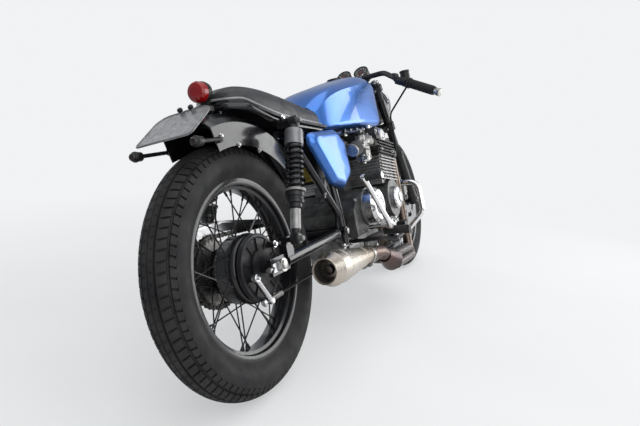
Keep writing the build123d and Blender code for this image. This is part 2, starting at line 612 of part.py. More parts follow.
for m in (0, 1):
    q = rod(gp - gd * 128, gp - gd * 2, 17) + rod(gp - gd * 130, gp - gd * 124, 21)
    q -= rod(gp - gd * 140, gp + gd * 1, 11.2)
    q += rod(gp + gd * 0.2, gp + gd * 26, 12, 15)
    grips.append(q if m == 0 else mirror(q, about=Plane.XZ))
nodes["grips"] = grips[0] + grips[1]
ctl = []
for m in (0, 1):
    c0 = gp - gd * 152
    q = rod(c0 - gd * 14, c0 + gd * 14, 17)
    q += tube([c0 + Vector(16, -4, 0), c0 + Vector(52, -18, -6), gp + Vector(48, 20, 0), gp + Vector(40, -10, -8)], [14, 14], 5)
    if m == 0:
        q += place(c0.X + 18, c0.Y, c0.Z + 22) * Cylinder(19, 34)
    q -= rod(c0 - gd * 30, c0 + gd * 30, 11.2)
    ctl.append(q if m == 0 else mirror(q, about=Plane.XZ))
nodes["bar_controls"] = ctl[0] + ctl[1] - hb
ins = []
for y in (-42, 42):
    pl = Plane(origin=at(st(78, y, 1001)), z_dir=(-math.sin(math.radians(50)), 0, math.cos(math.radians(50))))
    ins.append(pl * (Cylinder(33, 44)))
insn = ins[0] + ins[1] + place(*st(66, 0, 962)) * Box(20, 130, 5)
for y in (-42, 42):
    insn += rod(st(66, y, 949), st(66, y, 985), 5)
nodes["instruments"] = insn - nodes["triple_clamps"]
hx = Vector(1, 0, 0)
hc = st(118, 0, 838)
hl = rev_x([(0, 20), (18, 62), (62, 86), (100, 90), (112, 90), (118, 84), (126, 60), (129, 30)], hc - hx * 40, hc + hx * 90)
for y in (-FORK_Y, FORK_Y):
    hl += rod((hc.X + 20, y * 0.9, hc.Z), (hc.X + 20, y * 1.06, hc.Z), 8)
    ear = ring(st(FORK_N, y, 800), st(FORK_N, y, 876), 20.5, 17.7)
    hl += ear
    hl += rod((hc.X + 20, y * 1.02, hc.Z), st(FORK_N + 19, y * 1.02, 846), 5)
nodes["headlight"] = hl
ca = st(FORK_N - 62, 0, AXLE_S + 92)
cal = place(ca.X, -77, ca.Z) * Box(58, 22, 92) + place(ca.X, -48, ca.Z) * Box(52, 18, 78) + place(ca.X - 27, -62, ca.Z) * Box(18, 48, 78)
cal -= rod((LAYOUT, -66.5, FRONT_R), (LAYOUT, -53.5, FRONT_R), 139)
cal += rod((ca.X + 10, -78, ca.Z), st(FORK_N - 20, -88, AXLE_S + 92), 9)
nodes["brake_caliper"] = cal - rod(st(FORK_N, -FORK_Y, AXLE_S), st(FORK_N, -FORK_Y, 620), 24)
c0 = gp - gd * 152
hose = tube([c0 + Vector(26, -2, 8), c0 + Vector(90, 14, -4), (1160, -128, 740), (1215, -112, 600),
             (ca.X - 27, -64, ca.Z + 88), (ca.X - 27, -62, ca.Z + 39)], [30, 60, 50, 30], 4)
nodes["front_brake_hose"] = hose - nodes["bar_controls"] - nodes["brake_caliper"]

# Lean the whole vehicle on its side stand, about the line through both tyre crowns
tilt_line = Axis((0, 0, CROWN_REAR), (WHEELBASE, 0, CROWN_FRONT - CROWN_REAR))


def lean(s):
    return s.rotate(tilt_line, -LEAN)


def lean_point(p):
    return Vertex(*p).rotate(tilt_line, -LEAN).center()


STEERING_NODES = ["triple_clamps", "fork_legs", "handlebar", "grips", "bar_controls", "instruments", "headlight",
                  "brake_caliper", "front_brake_hose"]
stand_top = (590, CRADLE_Y + 36, CRADLE_Z - 8)
# Pieces of one body that are seated against each other: the first is shaped round the second
SEATED = [
    ("frame_left_loop", "frame_backbone"), ("frame_right_loop", "frame_backbone"),
    ("frame_left_loop", "seat_rails"), ("frame_right_loop", "seat_rails"),
    ("frame_backbone", "seat_rails"), ("air_filters", "carburettors"),
    ("brake_pedal", "brake_panel"), ("left_engine_covers", "gear_lever"), ("brake_panel", "swingarm"),
    ("carburettors", "cylinder_head"), ("side_covers", "frame_left_loop"), ("side_covers", "frame_right_loop"),
    ("chain_guard", "swingarm"),
    ("footpegs", "frame_left_loop"), ("footpegs", "frame_right_loop"),
    ("engine_guard", "frame_left_loop"), ("engine_guard", "frame_right_loop"),
]
for a, b in SEATED:
    nodes[a] = nodes[a] - nodes[b]
for k in list(nodes):
    nodes[k] = lean(nodes[k])

# The stand is drawn in the parked pose, its foot flat on the floor. Its pivot is square
# to the leg both when it is down and when it is folded back beside the frame.
P0 = lean_point(at(stand_top))
F0 = Vector(X(STAND_FOOT[0]), STAND_FOOT[1], 7)
leg_down = (F0 - P0).normalized()
leg_up = (lean_point((-0.97, 0.12, 0.2)) - lean_point((0, 0, 0))).normalized()
STAND_AXIS = leg_down.cross(leg_up).normalized()
STAND_ANGLE = leg_down.get_angle(leg_up)
stand = bar(P0 - STAND_AXIS * 8, P0 + STAND_AXIS * 8, 14) + bar(P0, F0, 9)
stand += Pos(F0.X, F0.Y, 4) * Cylinder(26, 8)
stand -= bar(P0 - STAND_AXIS * 40, P0 + STAND_AXIS * 40, 7.2)
nodes["side_stand"] = stand
pin = bar(P0 - STAND_AXIS * 27, P0 + STAND_AXIS * 16, 6.8) + bar(P0 + STAND_AXIS * 10, P0 + STAND_AXIS * 16, 10)
pin += bar(P0 - STAND_AXIS * 24, lean_point(at((590, CRADLE_Y, CRADLE_Z))), 8)
nodes["frame_left_loop"] += pin

# Row frame: origin at the middle of the base
box = Compound(list(nodes.values())).bounding_box()
SHIFT = Vector(-(box.min.X + box.max.X) / 2, -(box.min.Y + box.max.Y) / 2, -box.min.Z)
for k in list(nodes):
    nodes[k] = nodes[k].moved(Location(SHIFT))

for k, s in nodes.items():
    export_step(s, "parts/" + k + ".step")
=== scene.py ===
import bpy
import bmesh
import json
import math
from mathutils import Matrix, Vector


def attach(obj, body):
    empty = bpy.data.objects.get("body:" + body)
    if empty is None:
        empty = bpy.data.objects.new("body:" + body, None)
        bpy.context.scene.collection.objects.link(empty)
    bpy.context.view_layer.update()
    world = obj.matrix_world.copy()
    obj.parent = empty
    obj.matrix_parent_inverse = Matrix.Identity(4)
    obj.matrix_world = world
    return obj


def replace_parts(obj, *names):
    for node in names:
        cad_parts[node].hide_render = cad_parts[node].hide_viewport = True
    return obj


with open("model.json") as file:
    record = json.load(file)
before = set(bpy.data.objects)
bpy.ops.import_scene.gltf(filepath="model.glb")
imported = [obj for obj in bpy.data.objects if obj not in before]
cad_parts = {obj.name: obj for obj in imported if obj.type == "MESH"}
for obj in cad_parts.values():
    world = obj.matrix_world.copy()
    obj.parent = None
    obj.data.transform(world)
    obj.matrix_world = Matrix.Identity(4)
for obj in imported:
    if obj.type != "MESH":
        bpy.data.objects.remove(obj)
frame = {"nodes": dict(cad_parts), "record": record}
bpy.context.scene.view_settings.view_transform = "Standard"
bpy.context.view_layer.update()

# Driving sizes in metres and degrees, in the upright bike frame:
# X forward from the rear axle, Y left, Z up from the floor.
WHEELBASE, LEAN, RAKE, TRAIL = 1.405, 16.0, 26.0, 0.105
REAR_R, REAR_W, REAR_RIM_R, RIM_HALF = 0.333, 0.117, 0.226, 0.033
FRONT_R, FRONT_W, FRONT_RIM_R, FRONT_RIM_HALF = 0.326, 0.090, 0.241, 0.027
FORK_Y, FORK_N = 0.092, 0.0485
SR, CR = math.sin(math.radians(RAKE)), math.cos(math.radians(RAKE))

# The whole motorcycle leans about the line through both tyre crowns
axle = next(j for j in frame["record"]["behaviour"]["joints"] if j["name"] == "rear_wheel_spin")
crown_a = Vector((0, 0, REAR_W / 2))
crown_b = Vector((WHEELBASE, 0, FRONT_W / 2))
turn = Matrix.Rotation(math.radians(-LEAN), 4, (crown_b - crown_a).normalized())
UPRIGHT = Matrix.Translation(crown_a) @ turn @ Matrix.Translation(-crown_a)
SHIFT = Vector(axle["pos_m"]) - UPRIGHT @ Vector((0, 0, REAR_R))
BIKE = Matrix.Translation(SHIFT) @ UPRIGHT

UP, LEFT, RIGHT, AHEAD = Vector((0, 0, 1)), Vector((0, 1, 0)), Vector((0, -1, 0)), Vector((1, 0, 0))


def mm(x, y, z):
    return Vector((x, y, z)) / 1000


def st(n, y, s):
    # steering frame: n forward of the steering axis, s up it from the floor
    return Vector((WHEELBASE + TRAIL + n * CR - s * SR, y, n * SR + s * CR))


def st_mm(n, y, s):
    return st(n / 1000, y / 1000, s / 1000)


def spoke(degrees):
    # unit vector in a wheel's plane
    a = math.radians(degrees)
    return Vector((math.cos(a), 0, math.sin(a)))


def new_object(name, data):
    ob = bpy.data.objects.new(name, data)
    bpy.context.collection.objects.link(ob)
    return ob


# Camera, fitted to both wheels' outlines, in the floor frame under the rear axle
CAM_AT = (-1.103, -0.646, 0.747)
CAM_YAW, CAM_PITCH, CAM_ROLL = 24.47, -11.28, 3.39
FOCAL_PX, IMAGE_W = 513.4, 640


def make_camera():
    yaw, pitch, roll = (math.radians(a) for a in (CAM_YAW, CAM_PITCH, CAM_ROLL))
    fwd = Vector((math.cos(yaw) * math.cos(pitch), math.sin(yaw) * math.cos(pitch), math.sin(pitch)))
    side = Vector((math.sin(yaw), -math.cos(yaw), 0))
    up = side.cross(fwd)
    right = side * math.cos(roll) + up * math.sin(roll)
    up = up * math.cos(roll) - side * math.sin(roll)
    cam = new_object("camera", bpy.data.cameras.new("camera"))
    m = Matrix((right, up, -fwd)).transposed().to_4x4()
    m.translation = Vector(CAM_AT) + Vector((SHIFT.x, SHIFT.y, 0))
    cam.matrix_world = m
    cam.data.sensor_width = 36
    cam.data.lens = 36 * FOCAL_PX / IMAGE_W
    cam.data.clip_start = 0.05
    bpy.context.scene.camera = cam


make_camera()


# Materials
def new_mat(name):
    # a material, its node tree, its main shader and the object's own coordinates
    m = bpy.data.materials.new(name)
    m.use_nodes = True
    nt = m.node_tree
    co = nt.nodes.new("ShaderNodeTexCoord").outputs["Object"]
    return m, nt, nt.nodes["Principled BSDF"], co


def put(node, values):
    for key, value in values.items():
        node.inputs[key].default_value = value


def mix_shaders(nt, share, first, second, output):
    mix = nt.nodes.new("ShaderNodeMixShader")
    nt.links.new(share, mix.inputs["Fac"])
    nt.links.new(first, mix.inputs[1])
    nt.links.new(second, mix.inputs[2])
    nt.links.new(mix.outputs["Shader"], nt.nodes[output].inputs["Surface"])


def camera_ray(nt):
    return nt.nodes.new("ShaderNodeLightPath").outputs["Is Camera Ray"]


def noise(nt, coord, scale, detail=4.0, stretch=None):
    n = nt.nodes.new("ShaderNodeTexNoise")
    put(n, {"Scale": scale, "Detail": detail})
    if stretch:
        mp = nt.nodes.new("ShaderNodeMapping")
        mp.inputs["Scale"].default_value = stretch
        nt.links.new(coord, mp.inputs["Vector"])
        coord = mp.outputs["Vector"]
    nt.links.new(coord, n.inputs["Vector"])
    return n.outputs["Fac"]


def ramp(nt, fac, stops):
    r = nt.nodes.new("ShaderNodeValToRGB")
    el = r.color_ramp.elements
    while len(el) < len(stops):
        el.new(0.5)
    for e, (pos, col) in zip(el, stops):
        e.position = pos
        e.color = (*col, 1)
    nt.links.new(fac, r.inputs["Fac"])
    return r.outputs["Color"]


def spread(nt, fac, low, high, f0=0.3, f1=0.7):
    r = nt.nodes.new("ShaderNodeMapRange")
    put(r, {"From Min": f0, "From Max": f1, "To Min": low, "To Max": high})
    nt.links.new(fac, r.inputs["Value"])
    return r.outputs["Result"]


def bump(nt, bsdf, height, strength, distance):
    b = nt.nodes.new("ShaderNodeBump")
    put(b, {"Strength": strength, "Distance": distance})
    nt.links.new(height, b.inputs["Height"])
    nt.links.new(b.outputs["Normal"], bsdf.inputs["Normal"])


def finish(name, dark, light, rough, metal, scale, grain=None, coat=0.0, spec=None):
    # a mottled surface: colour from dark to light, roughness range, grain = (scale, strength, depth)
    m, nt, b, co = new_mat(name)
    mottled = noise(nt, co, scale, 6)
    nt.links.new(ramp(nt, mottled, [(0.32, dark), (0.68, light)]), b.inputs["Base Color"])
    nt.links.new(spread(nt, noise(nt, co, scale * 2.3, 5), *rough), b.inputs["Roughness"])
    put(b, {"Metallic": metal, "Coat Weight": coat, "Coat Roughness": 0.06})
    if spec is not None:
        b.inputs["Specular IOR Level"].default_value = spec
    if grain:
        bump(nt, b, noise(nt, co, grain[0], 3), grain[1], grain[2])
    return m


def metallic_blue():
    # light metallic paint: fine flakes under a clear coat, a little darker in broad clouds
    m, nt, b, co = new_mat("tank_blue")
    v = nt.nodes.new("ShaderNodeTexVoronoi")
    v.inputs["Scale"].default_value = 1400
    nt.links.new(co, v.inputs["Vector"])
    flakes = ramp(nt, v.outputs["Distance"], [(0.1, (0.060, 0.205, 0.60)), (0.8, (0.038, 0.150, 0.49))])
    clouds = ramp(nt, noise(nt, co, 3.2, 3), [(0.3, (0.90, 0.91, 0.94)), (0.7, (1, 1, 1))])
    mix = nt.nodes.new("ShaderNodeMix")
    mix.data_type, mix.blend_type = "RGBA", "MULTIPLY"
    mix.inputs["Factor"].default_value = 1
    nt.links.new(flakes, mix.inputs["A"])
    nt.links.new(clouds, mix.inputs["B"])
    nt.links.new(mix.outputs["Result"], b.inputs["Base Color"])
    put(b, {"Metallic": 0.8, "Coat Weight": 0.5, "Coat Roughness": 0.04})
    nt.links.new(spread(nt, noise(nt, co, 9, 4), 0.26, 0.36), b.inputs["Roughness"])
    bump(nt, b, v.outputs["Distance"], 0.04, 0.0004)
    return m


def heat_tint(name, axis_from, axis_to, stops):
    # steel that runs through straw, brown and blue along its length
    m, nt, b, co = new_mat(name)
    sep = nt.nodes.new("ShaderNodeSeparateXYZ")
    nt.links.new(co, sep.inputs["Vector"])
    wob = nt.nodes.new("ShaderNodeMath")
    wob.operation = "MULTIPLY_ADD"
    nt.links.new(noise(nt, co, 22, 3), wob.inputs[0])
    wob.inputs[1].default_value = 0.05
    nt.links.new(sep.outputs["X"], wob.inputs[2])
    fac = spread(nt, wob.outputs["Value"], 0, 1, axis_from, axis_to)
    nt.links.new(ramp(nt, fac, stops), b.inputs["Base Color"])
    b.inputs["Metallic"].default_value = 1.0
    nt.links.new(spread(nt, noise(nt, co, 60, 4, (1, 6, 6)), 0.22, 0.42), b.inputs["Roughness"])
    bump(nt, b, noise(nt, co, 260, 2, (1, 9, 9)), 0.08, 0.0006)
    return m


def red_lens():
    # deep red plastic with fine moulded rings
    m, nt, b, co = new_mat("lens_red")
    nt.links.new(ramp(nt, noise(nt, co, 30, 2), [(0.3, (0.17, 0.0010, 0.002)), (0.7, (0.27, 0.002, 0.004))]),
                 b.inputs["Base Color"])
    put(b, {"Roughness": 0.14, "Specular IOR Level": 0.3, "Coat Weight": 0.3})
    w = nt.nodes.new("ShaderNodeTexWave")
    w.wave_type = "RINGS"
    w.inputs["Scale"].default_value = 90
    nt.links.new(co, w.inputs["Vector"])
    bump(nt, b, w.outputs["Fac"], 0.15, 0.0008)
    return m


# name: dark, light, roughness range, metallic, mottle scale, grain (scale, strength, depth), coat, specular
FINISHES = {
    "tyre_rubber": ((0.007, 0.007, 0.008), (0.021, 0.0205, 0.020), (0.58, 0.78), 0, 16, (900, 0.12, 0.0006),
        0, 0.3),
    "wheel_black": ((0.006, 0.006, 0.007), (0.011, 0.011, 0.012), (0.14, 0.28), 0, 30, (500, 0.03, 0.0004),
        0.25, 0.3),
    "sprocket_steel": ((0.16, 0.155, 0.15), (0.30, 0.29, 0.28), (0.35, 0.55), 1, 60, (700, 0.10, 0.0005)),
    "disc_steel": ((0.20, 0.20, 0.205), (0.31, 0.31, 0.315), (0.36, 0.50), 1, 120, (900, 0.06, 0.0003)),
    "frame_black": ((0.004, 0.004, 0.005), (0.008, 0.008, 0.009), (0.12, 0.26), 0, 25, (420, 0.04, 0.0004),
        0.3, 0.3),
    "satin_black": ((0.006, 0.006, 0.007), (0.013, 0.013, 0.014), (0.32, 0.50), 0, 35, (600, 0.10, 0.0005),
        0, 0.3),
    "shock_finish": ((0.008, 0.008, 0.009), (0.016, 0.016, 0.017), (0.26, 0.42), 0, 40, (500, 0.06, 0.0004),
        0.1, 0.3),
    "chrome": ((0.72, 0.72, 0.73), (0.84, 0.84, 0.85), (0.05, 0.16), 1, 14, (300, 0.02, 0.0003)),
    "alloy": ((0.40, 0.40, 0.41), (0.60, 0.60, 0.60), (0.26, 0.44), 1, 55, (650, 0.12, 0.0005)),
    "engine_dark": ((0.030, 0.029, 0.028), (0.075, 0.073, 0.070), (0.42, 0.62), 0.8, 45, (420, 0.22, 0.0007)),
    "seat_black": ((0.012, 0.012, 0.014), (0.024, 0.024, 0.027), (0.38, 0.56), 0, 30, (520, 0.35, 0.0010), 0,
        0.5),
    "plastic_black": ((0.007, 0.007, 0.007), (0.014, 0.014, 0.014), (0.30, 0.48), 0, 35, (700, 0.14, 0.0005),
        0, 0.3),
    "rubber_black": ((0.008, 0.008, 0.008), (0.018, 0.018, 0.018), (0.55, 0.75), 0, 40, (800, 0.20, 0.0006),
        0, 0.3),
    "plate_grey": ((0.13, 0.13, 0.135), (0.24, 0.24, 0.245), (0.30, 0.50), 0.3, 60, (300, 0.10, 0.0006)),
    "chain_steel": ((0.03, 0.029, 0.027), (0.10, 0.096, 0.09), (0.32, 0.52), 0.9, 70, (700, 0.12, 0.0005)),
    "filter_black": ((0.010, 0.010, 0.010), (0.045, 0.045, 0.045), (0.6, 0.8), 0, 260, (500, 0.5, 0.0012)),
    "dial_face": ((0.012, 0.012, 0.013), (0.02, 0.02, 0.021), (0.4, 0.5), 0, 50),
    "shroud_grey": ((0.15, 0.15, 0.155), (0.22, 0.22, 0.225), (0.34, 0.50), 0.6, 30, (500, 0.08, 0.0004)),
    # the welt's light grey colour is a painted highlight along the piping
    "welt_painted_highlight": ((0.16, 0.16, 0.17), (0.24, 0.24, 0.25), (0.25, 0.40), 0, 60, (500, 0.1, 0.0004), 0.3),
    "polished": ((0.50, 0.50, 0.51), (0.60, 0.60, 0.60), (0.20, 0.32), 1, 18, (320, 0.02, 0.0002)),
    "cap_dark": ((0.020, 0.020, 0.021), (0.045, 0.045, 0.046), (0.20, 0.34), 0.7, 40, (500, 0.04, 0.0003)),
    "fin_alloy": ((0.22, 0.217, 0.212), (0.38, 0.377, 0.370), (0.38, 0.58), 0.9, 45, (420, 0.22, 0.0007)),
    "carb_metal": ((0.20, 0.198, 0.19), (0.38, 0.375, 0.36), (0.34, 0.52), 0.9, 70, (600, 0.18, 0.0006)),
    "plated": ((0.30, 0.295, 0.28), (0.46, 0.455, 0.44), (0.22, 0.40), 1, 90, (700, 0.08, 0.0004)),
    "case_alloy": ((0.085, 0.085, 0.084), (0.19, 0.19, 0.187), (0.36, 0.56), 0.9, 38, (520, 0.22, 0.0007)),
    "hand_red": ((0.30, 0.02, 0.01), (0.42, 0.035, 0.015), (0.3, 0.4), 0, 60),
    "battery_olive": ((0.16, 0.13, 0.02), (0.26, 0.21, 0.035), (0.35, 0.5), 0, 30, (300, 0.1, 0.0005)),
    "ivory": ((0.42, 0.42, 0.39), (0.55, 0.55, 0.51), (0.4, 0.5), 0, 60),
    "soot": ((0.010, 0.009, 0.008), (0.030, 0.026, 0.022), (0.7, 0.9), 0.2, 90),
    "smoked_amber": ((0.006, 0.004, 0.003), (0.012, 0.007, 0.005), (0.18, 0.28), 0, 60, None, 0.2, 0.3),
    "lamp_glass": ((0.50, 0.52, 0.54), (0.68, 0.70, 0.71), (0.04, 0.10), 0.75, 240, (160, 0.30, 0.0010), 1.0),
}
# name: where along x it starts and ends, then places from 0 to 1 between them, each with its colour
TINTS = {
    "stainless": (-0.545, -0.10, [(0.0, (0.46, 0.40, 0.34)), (0.35, (0.60, 0.56, 0.50)),
                                  (0.75, (0.50, 0.43, 0.34)), (1.0, (0.22, 0.15, 0.11))]),
    "header_steel": (-0.10, 0.30, [(0.0, (0.15, 0.10, 0.08)), (0.3, (0.075, 0.058, 0.060)),
                                   (0.7, (0.10, 0.088, 0.085)), (1.0, (0.18, 0.14, 0.11))]),
}
MAT = {name: finish(name, *row) for name, row in FINISHES.items()}
MAT.update({name: heat_tint(name, *row) for name, row in TINTS.items()})
MAT["tank_blue"] = metallic_blue()
MAT["lens_red"] = red_lens()

for row in frame["record"]["subparts"]:
    o = frame["nodes"][row["node"]]
    o.data.materials.clear()
    o.data.materials.append(MAT[row["material_slot"]])


# Mesh helpers: forms are given in the upright bike frame and leaned as they are made
def piece(name, verts, faces, slot, body, smooth=True, bevel=0.0, sharp=35):
    me = bpy.data.meshes.new(name)
    me.from_pydata([tuple(v) for v in verts], [], faces)
    me.validate()
    me.transform(BIKE)
    bm = bmesh.new()
    bm.from_mesh(me)
    bmesh.ops.recalc_face_normals(bm, faces=bm.faces)
    bm.to_mesh(me)
    bm.free()
    me.materials.append(MAT[slot])
    ob = new_object(name, me)
    if smooth:
        me.polygons.foreach_set("use_smooth", [True] * len(me.polygons))
        me.set_sharp_from_angle(angle=math.radians(sharp))
    if bevel:
        mod = ob.modifiers.new("edge", "BEVEL")
        mod.width, mod.segments, mod.limit_method = bevel, 2, "ANGLE"
    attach(ob, body)
    return ob


class Build:
    # gathers many small forms into one mesh
    def __init__(self):
        self.v, self.f = [], []

    def add(self, verts, faces):
        k = len(self.v)
        self.v += [Vector(p) for p in verts]
        self.f += [tuple(k + i for i in f) for f in faces]

    def lathe(self, prof, p, q, n=32, close=False):
        # prof rows are (distance from p towards q, radius)
        p, q = Vector(p), Vector(q)
        d = (q - p).normalized()
        u = d.orthogonal().normalized()
        w = d.cross(u)
        verts, faces = [], []
        m = len(prof)
        for i in range(n):
            a = 2 * math.pi * i / n
            r = u * math.cos(a) + w * math.sin(a)
            verts += [p + d * x + r * max(rad, 1e-5) for x, rad in prof]
        span = m if close else m - 1
        for i in range(n):
            j = (i + 1) % n
            for k in range(span):
                k2 = (k + 1) % m
                faces.append((i * m + k, j * m + k, j * m + k2, i * m + k2))
        if not close:
            faces.append(tuple(i * m for i in range(n)))
            faces.append(tuple(i * m + m - 1 for i in reversed(range(n))))
        self.add(verts, faces)

    def rod(self, p, q, r, n=12):
        p, q = Vector(p), Vector(q)
        self.lathe([(0, r), ((q - p).length, r)], p, q, n)

    def tube(self, pts, r, n=12, closed=False):
        pts = [Vector(p) for p in pts]
        m = len(pts)
        verts, faces = [], []
        up = None
        for i, p in enumerate(pts):
            before = pts[i - 1] if (i or closed) else p
            after = pts[(i + 1) % m] if (i < m - 1 or closed) else p
            t = (after - before).normalized()
            if up is None:
                up = t.orthogonal().normalized()
            up = (up - t * up.dot(t)).normalized()
            w = t.cross(up)
            for k in range(n):
                a = 2 * math.pi * k / n
                verts.append(p + (up * math.cos(a) + w * math.sin(a)) * r)
        for i in range(m if closed else m - 1):
            j = (i + 1) % m
            for k in range(n):
                k2 = (k + 1) % n
                faces.append((i * n + k, i * n + k2, j * n + k2, j * n + k))
        if not closed:
            faces.append(tuple(reversed(range(n))))
            faces.append(tuple((m - 1) * n + k for k in range(n)))
        self.add(verts, faces)

    def box(self, c, size, axes=None):
        c = Vector(c)
        ax = axes or (AHEAD, LEFT, UP)
        hx, hy, hz = (Vector(a).normalized() * s / 2 for a, s in zip(ax, size))
        verts = [c + hx * i + hy * j + hz * k for i in (-1, 1) for j in (-1, 1) for k in (-1, 1)]
        self.add(verts, [(0, 1, 3, 2), (4, 6, 7, 5), (0, 4, 5, 1), (2, 3, 7, 6), (0, 2, 6, 4), (1, 5, 7, 3)])

    def hexbolt(self, p, d, r, h, washer=1.5):
        p, d = Vector(p), Vector(d).normalized()
        self.lathe([(0, r * washer), (h * 0.2, r * washer)], p, p + d, 16)
        self.lathe([(h * 0.2, r * 1.12), (h * 0.85, r * 1.12), (h, r * 0.85)], p, p + d, 6)

    def out(self, name, slot, body="chassis", **kw):
        return piece(name, self.v, self.f, slot, body, **kw)


# Tyres: a grid whose lines follow the tread's grooves
PLAIN, GROOVE, BLOCK, SHOULDER, CENTRE = range(5)
# columns over one half of the crown: angle from the middle in degrees, and kind
TREAD = [(-92, PLAIN), (-84, PLAIN), (-76, PLAIN), (-70, PLAIN), (-66, PLAIN), (-64, SHOULDER),
         (-56, SHOULDER), (-50.6, SHOULDER), (-49.2, GROOVE), (-45.2, GROOVE), (-43.6, BLOCK), (-40, BLOCK),
         (-33, BLOCK), (-26, BLOCK), (-21, BLOCK), (-19.6, GROOVE), (-16.2, GROOVE), (-14.8, CENTRE),
         (-8, CENTRE), (-2.8, CENTRE), (-1.2, GROOVE)]
TREAD_DEPTH, TREAD_PITCHES = 0.0056, 84
# lines within each pitch, the slot between the second and third
PITCH_STEPS = [0.0, 0.03, 0.20, 0.235, 0.49, 0.75]
# share of the depth that each kind's slots take, and the angles between which they lie
SLOTS = {BLOCK: (0.95, 24, 90), SHOULDER: (0.9, 50, 90), CENTRE: (0.45, 4, 14)}


def tread_slant(a, kind):
    # how far a column's lines run ahead of the middle, in pitches
    if kind == CENTRE or abs(a) < 2:
        return 0.25 * (a / 15)
    if kind == SHOULDER:
        return 0.5 + (abs(a) - 55) / 30 * 0.3
    if kind in (BLOCK, GROOVE):
        return (abs(a) - 32) / 30 * 0.32 * (1 if a > 0 else -1)
    return 0.0


def tread_cut(a, kind, step):
    if kind == GROOVE:
        return TREAD_DEPTH * (0.55 if abs(a) < 5 else 1.0)
    if kind in SLOTS and step in (1, 2):
        share, low, high = SLOTS[kind]
        if low < abs(a) < high:
            return TREAD_DEPTH * share
    return 0.0


def tyre_mesh(name, node, body, cx, rad, width, rim_r, rim_half):
    crown = width / 2
    mid = rad - crown
    # sidewall rows above the rim: radius over the rim's, half width over the rim's
    rows = [(0.001, -0.004), (0.008, 0.0005), (0.014, 0.004), (0.022, 0.0105), (0.034, 0.0185)]
    side = [(rim_r + r, rim_half + y, None, PLAIN) for r, y in rows]
    cols = TREAD + [(-a, k) for a, k in reversed(TREAD)]
    prof = side + [(None, None, a, k) for a, k in reversed(cols)]
    prof += [(r, -y, a, k) for r, y, a, k in reversed(side)]
    m, per = len(prof), len(PITCH_STEPS)
    n = TREAD_PITCHES * per
    verts, faces = [], []
    for i in range(n):
        pitch, step = divmod(i, per)
        for r, y, a, kind in prof:
            t = (pitch + PITCH_STEPS[step]) / TREAD_PITCHES * 2 * math.pi
            if a is not None:
                t += tread_slant(a, kind) / TREAD_PITCHES * 2 * math.pi
                cut = tread_cut(a, kind, step)
                ar = math.radians(a)
                # the crown is a little flatter than round towards its edges
                y = (crown * (0.985 + 0.015 * math.cos(ar)) - cut) * math.sin(ar)
                y *= 0.996 if abs(a) > 80 else 1.0
                r = mid + (crown - cut) * math.cos(ar)
            verts.append((cx + r * math.cos(t), y, rad + r * math.sin(t)))
    for i in range(n):
        j = (i + 1) % n
        for k in range(m - 1):
            faces.append((i * m + k, j * m + k, j * m + k + 1, i * m + k + 1))
        faces.append((i * m + m - 1, j * m + m - 1, j * m, i * m))
    ob = piece(name, verts, faces, "tyre_rubber", body, sharp=28)
    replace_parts(ob, node)


tyre_mesh("rear_tread", "rear_tyre", "rear_wheel", 0, REAR_R, REAR_W, REAR_RIM_R, RIM_HALF)
tyre_mesh("front_tread", "front_tyre", "front_wheel", WHEELBASE, FRONT_R, FRONT_W, FRONT_RIM_R,
          FRONT_RIM_HALF)


# Laced wheels: rim, hub and spokes with nipples
FLANGE_SPOKES, SPOKE_LEAN = 18, 34


def rim_section(r, half):
    # half of the rim's outline, mirrored: how far out from the middle, and radius
    outer = [(half + 0.0032, r + 0.0125), (half, r + 0.0135), (half - 0.001, r + 0.002),
             (half - 0.010, r - 0.001), (half - 0.014, r - 0.010), (0.008, r - 0.0125)]
    inner = [(half + 0.0042, r + 0.004), (half + 0.001, r - 0.0035), (half - 0.009, r - 0.0065),
             (half - 0.012, r - 0.0145), (0.009, r - 0.017)]
    return outer + [(-y, z) for y, z in reversed(outer)] + [(-y, z) for y, z in inner] + inner[::-1]


def wheel_mesh(name, node, cx, cz, rim_r, half, hub, flanges):
    # spokes lean one way and the other by turns, from each hub flange
    b = Build()
    start, ahead = (cx, -0.2, cz), (cx, 1, cz)
    b.lathe([(y + 0.2, r) for y, r in rim_section(rim_r, half)], start, ahead, 128, close=True)
    b.lathe([(y + 0.2, r) for y, r in hub], start, ahead, 64)
    middle = Vector((cx, 0, cz))
    for fy, fr, ry in flanges:
        for i in range(FLANGE_SPOKES):
            sgn = 1 if i % 2 else -1
            step = 360 / FLANGE_SPOKES
            angle = i * step + (step / 2 if ry > 0 else 0)
            p0 = middle + LEFT * (fy + sgn * 0.0035) + spoke(angle) * (fr - 0.004)
            p1 = middle + LEFT * ry + spoke(angle + sgn * SPOKE_LEAN) * (rim_r - 0.012)
            d = (p1 - p0).normalized()
            b.rod(p0, p1, 0.0019, 8)
            b.rod(p1 - d * 0.018, p1, 0.0033, 8)
            b.rod(p0 - LEFT * sgn * 0.006, p0 + LEFT * sgn * 0.003, 0.0034, 8)
    ob = b.out(name, "wheel_black", node)
    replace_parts(ob, node)


# hub outlines: place along the axle and radius
REAR_HUB = [(-0.044, 0.078), (-0.044, 0.088), (-0.040, 0.092), (-0.030, 0.094), (-0.026, 0.090),
            (-0.022, 0.092), (-0.018, 0.090), (-0.012, 0.091), (-0.006, 0.0895), (0.0, 0.091),
            (0.006, 0.0895), (0.012, 0.091), (0.018, 0.088), (0.024, 0.066), (0.050, 0.060), (0.052, 0.064),
            (0.060, 0.064), (0.062, 0.048), (0.078, 0.046)]
FRONT_HUB = [(-0.044, 0.050), (-0.044, 0.060), (-0.036, 0.062), (-0.032, 0.034), (-0.020, 0.027),
             (0.020, 0.027), (0.028, 0.034), (0.031, 0.050), (0.039, 0.050), (0.041, 0.026), (0.050, 0.025)]
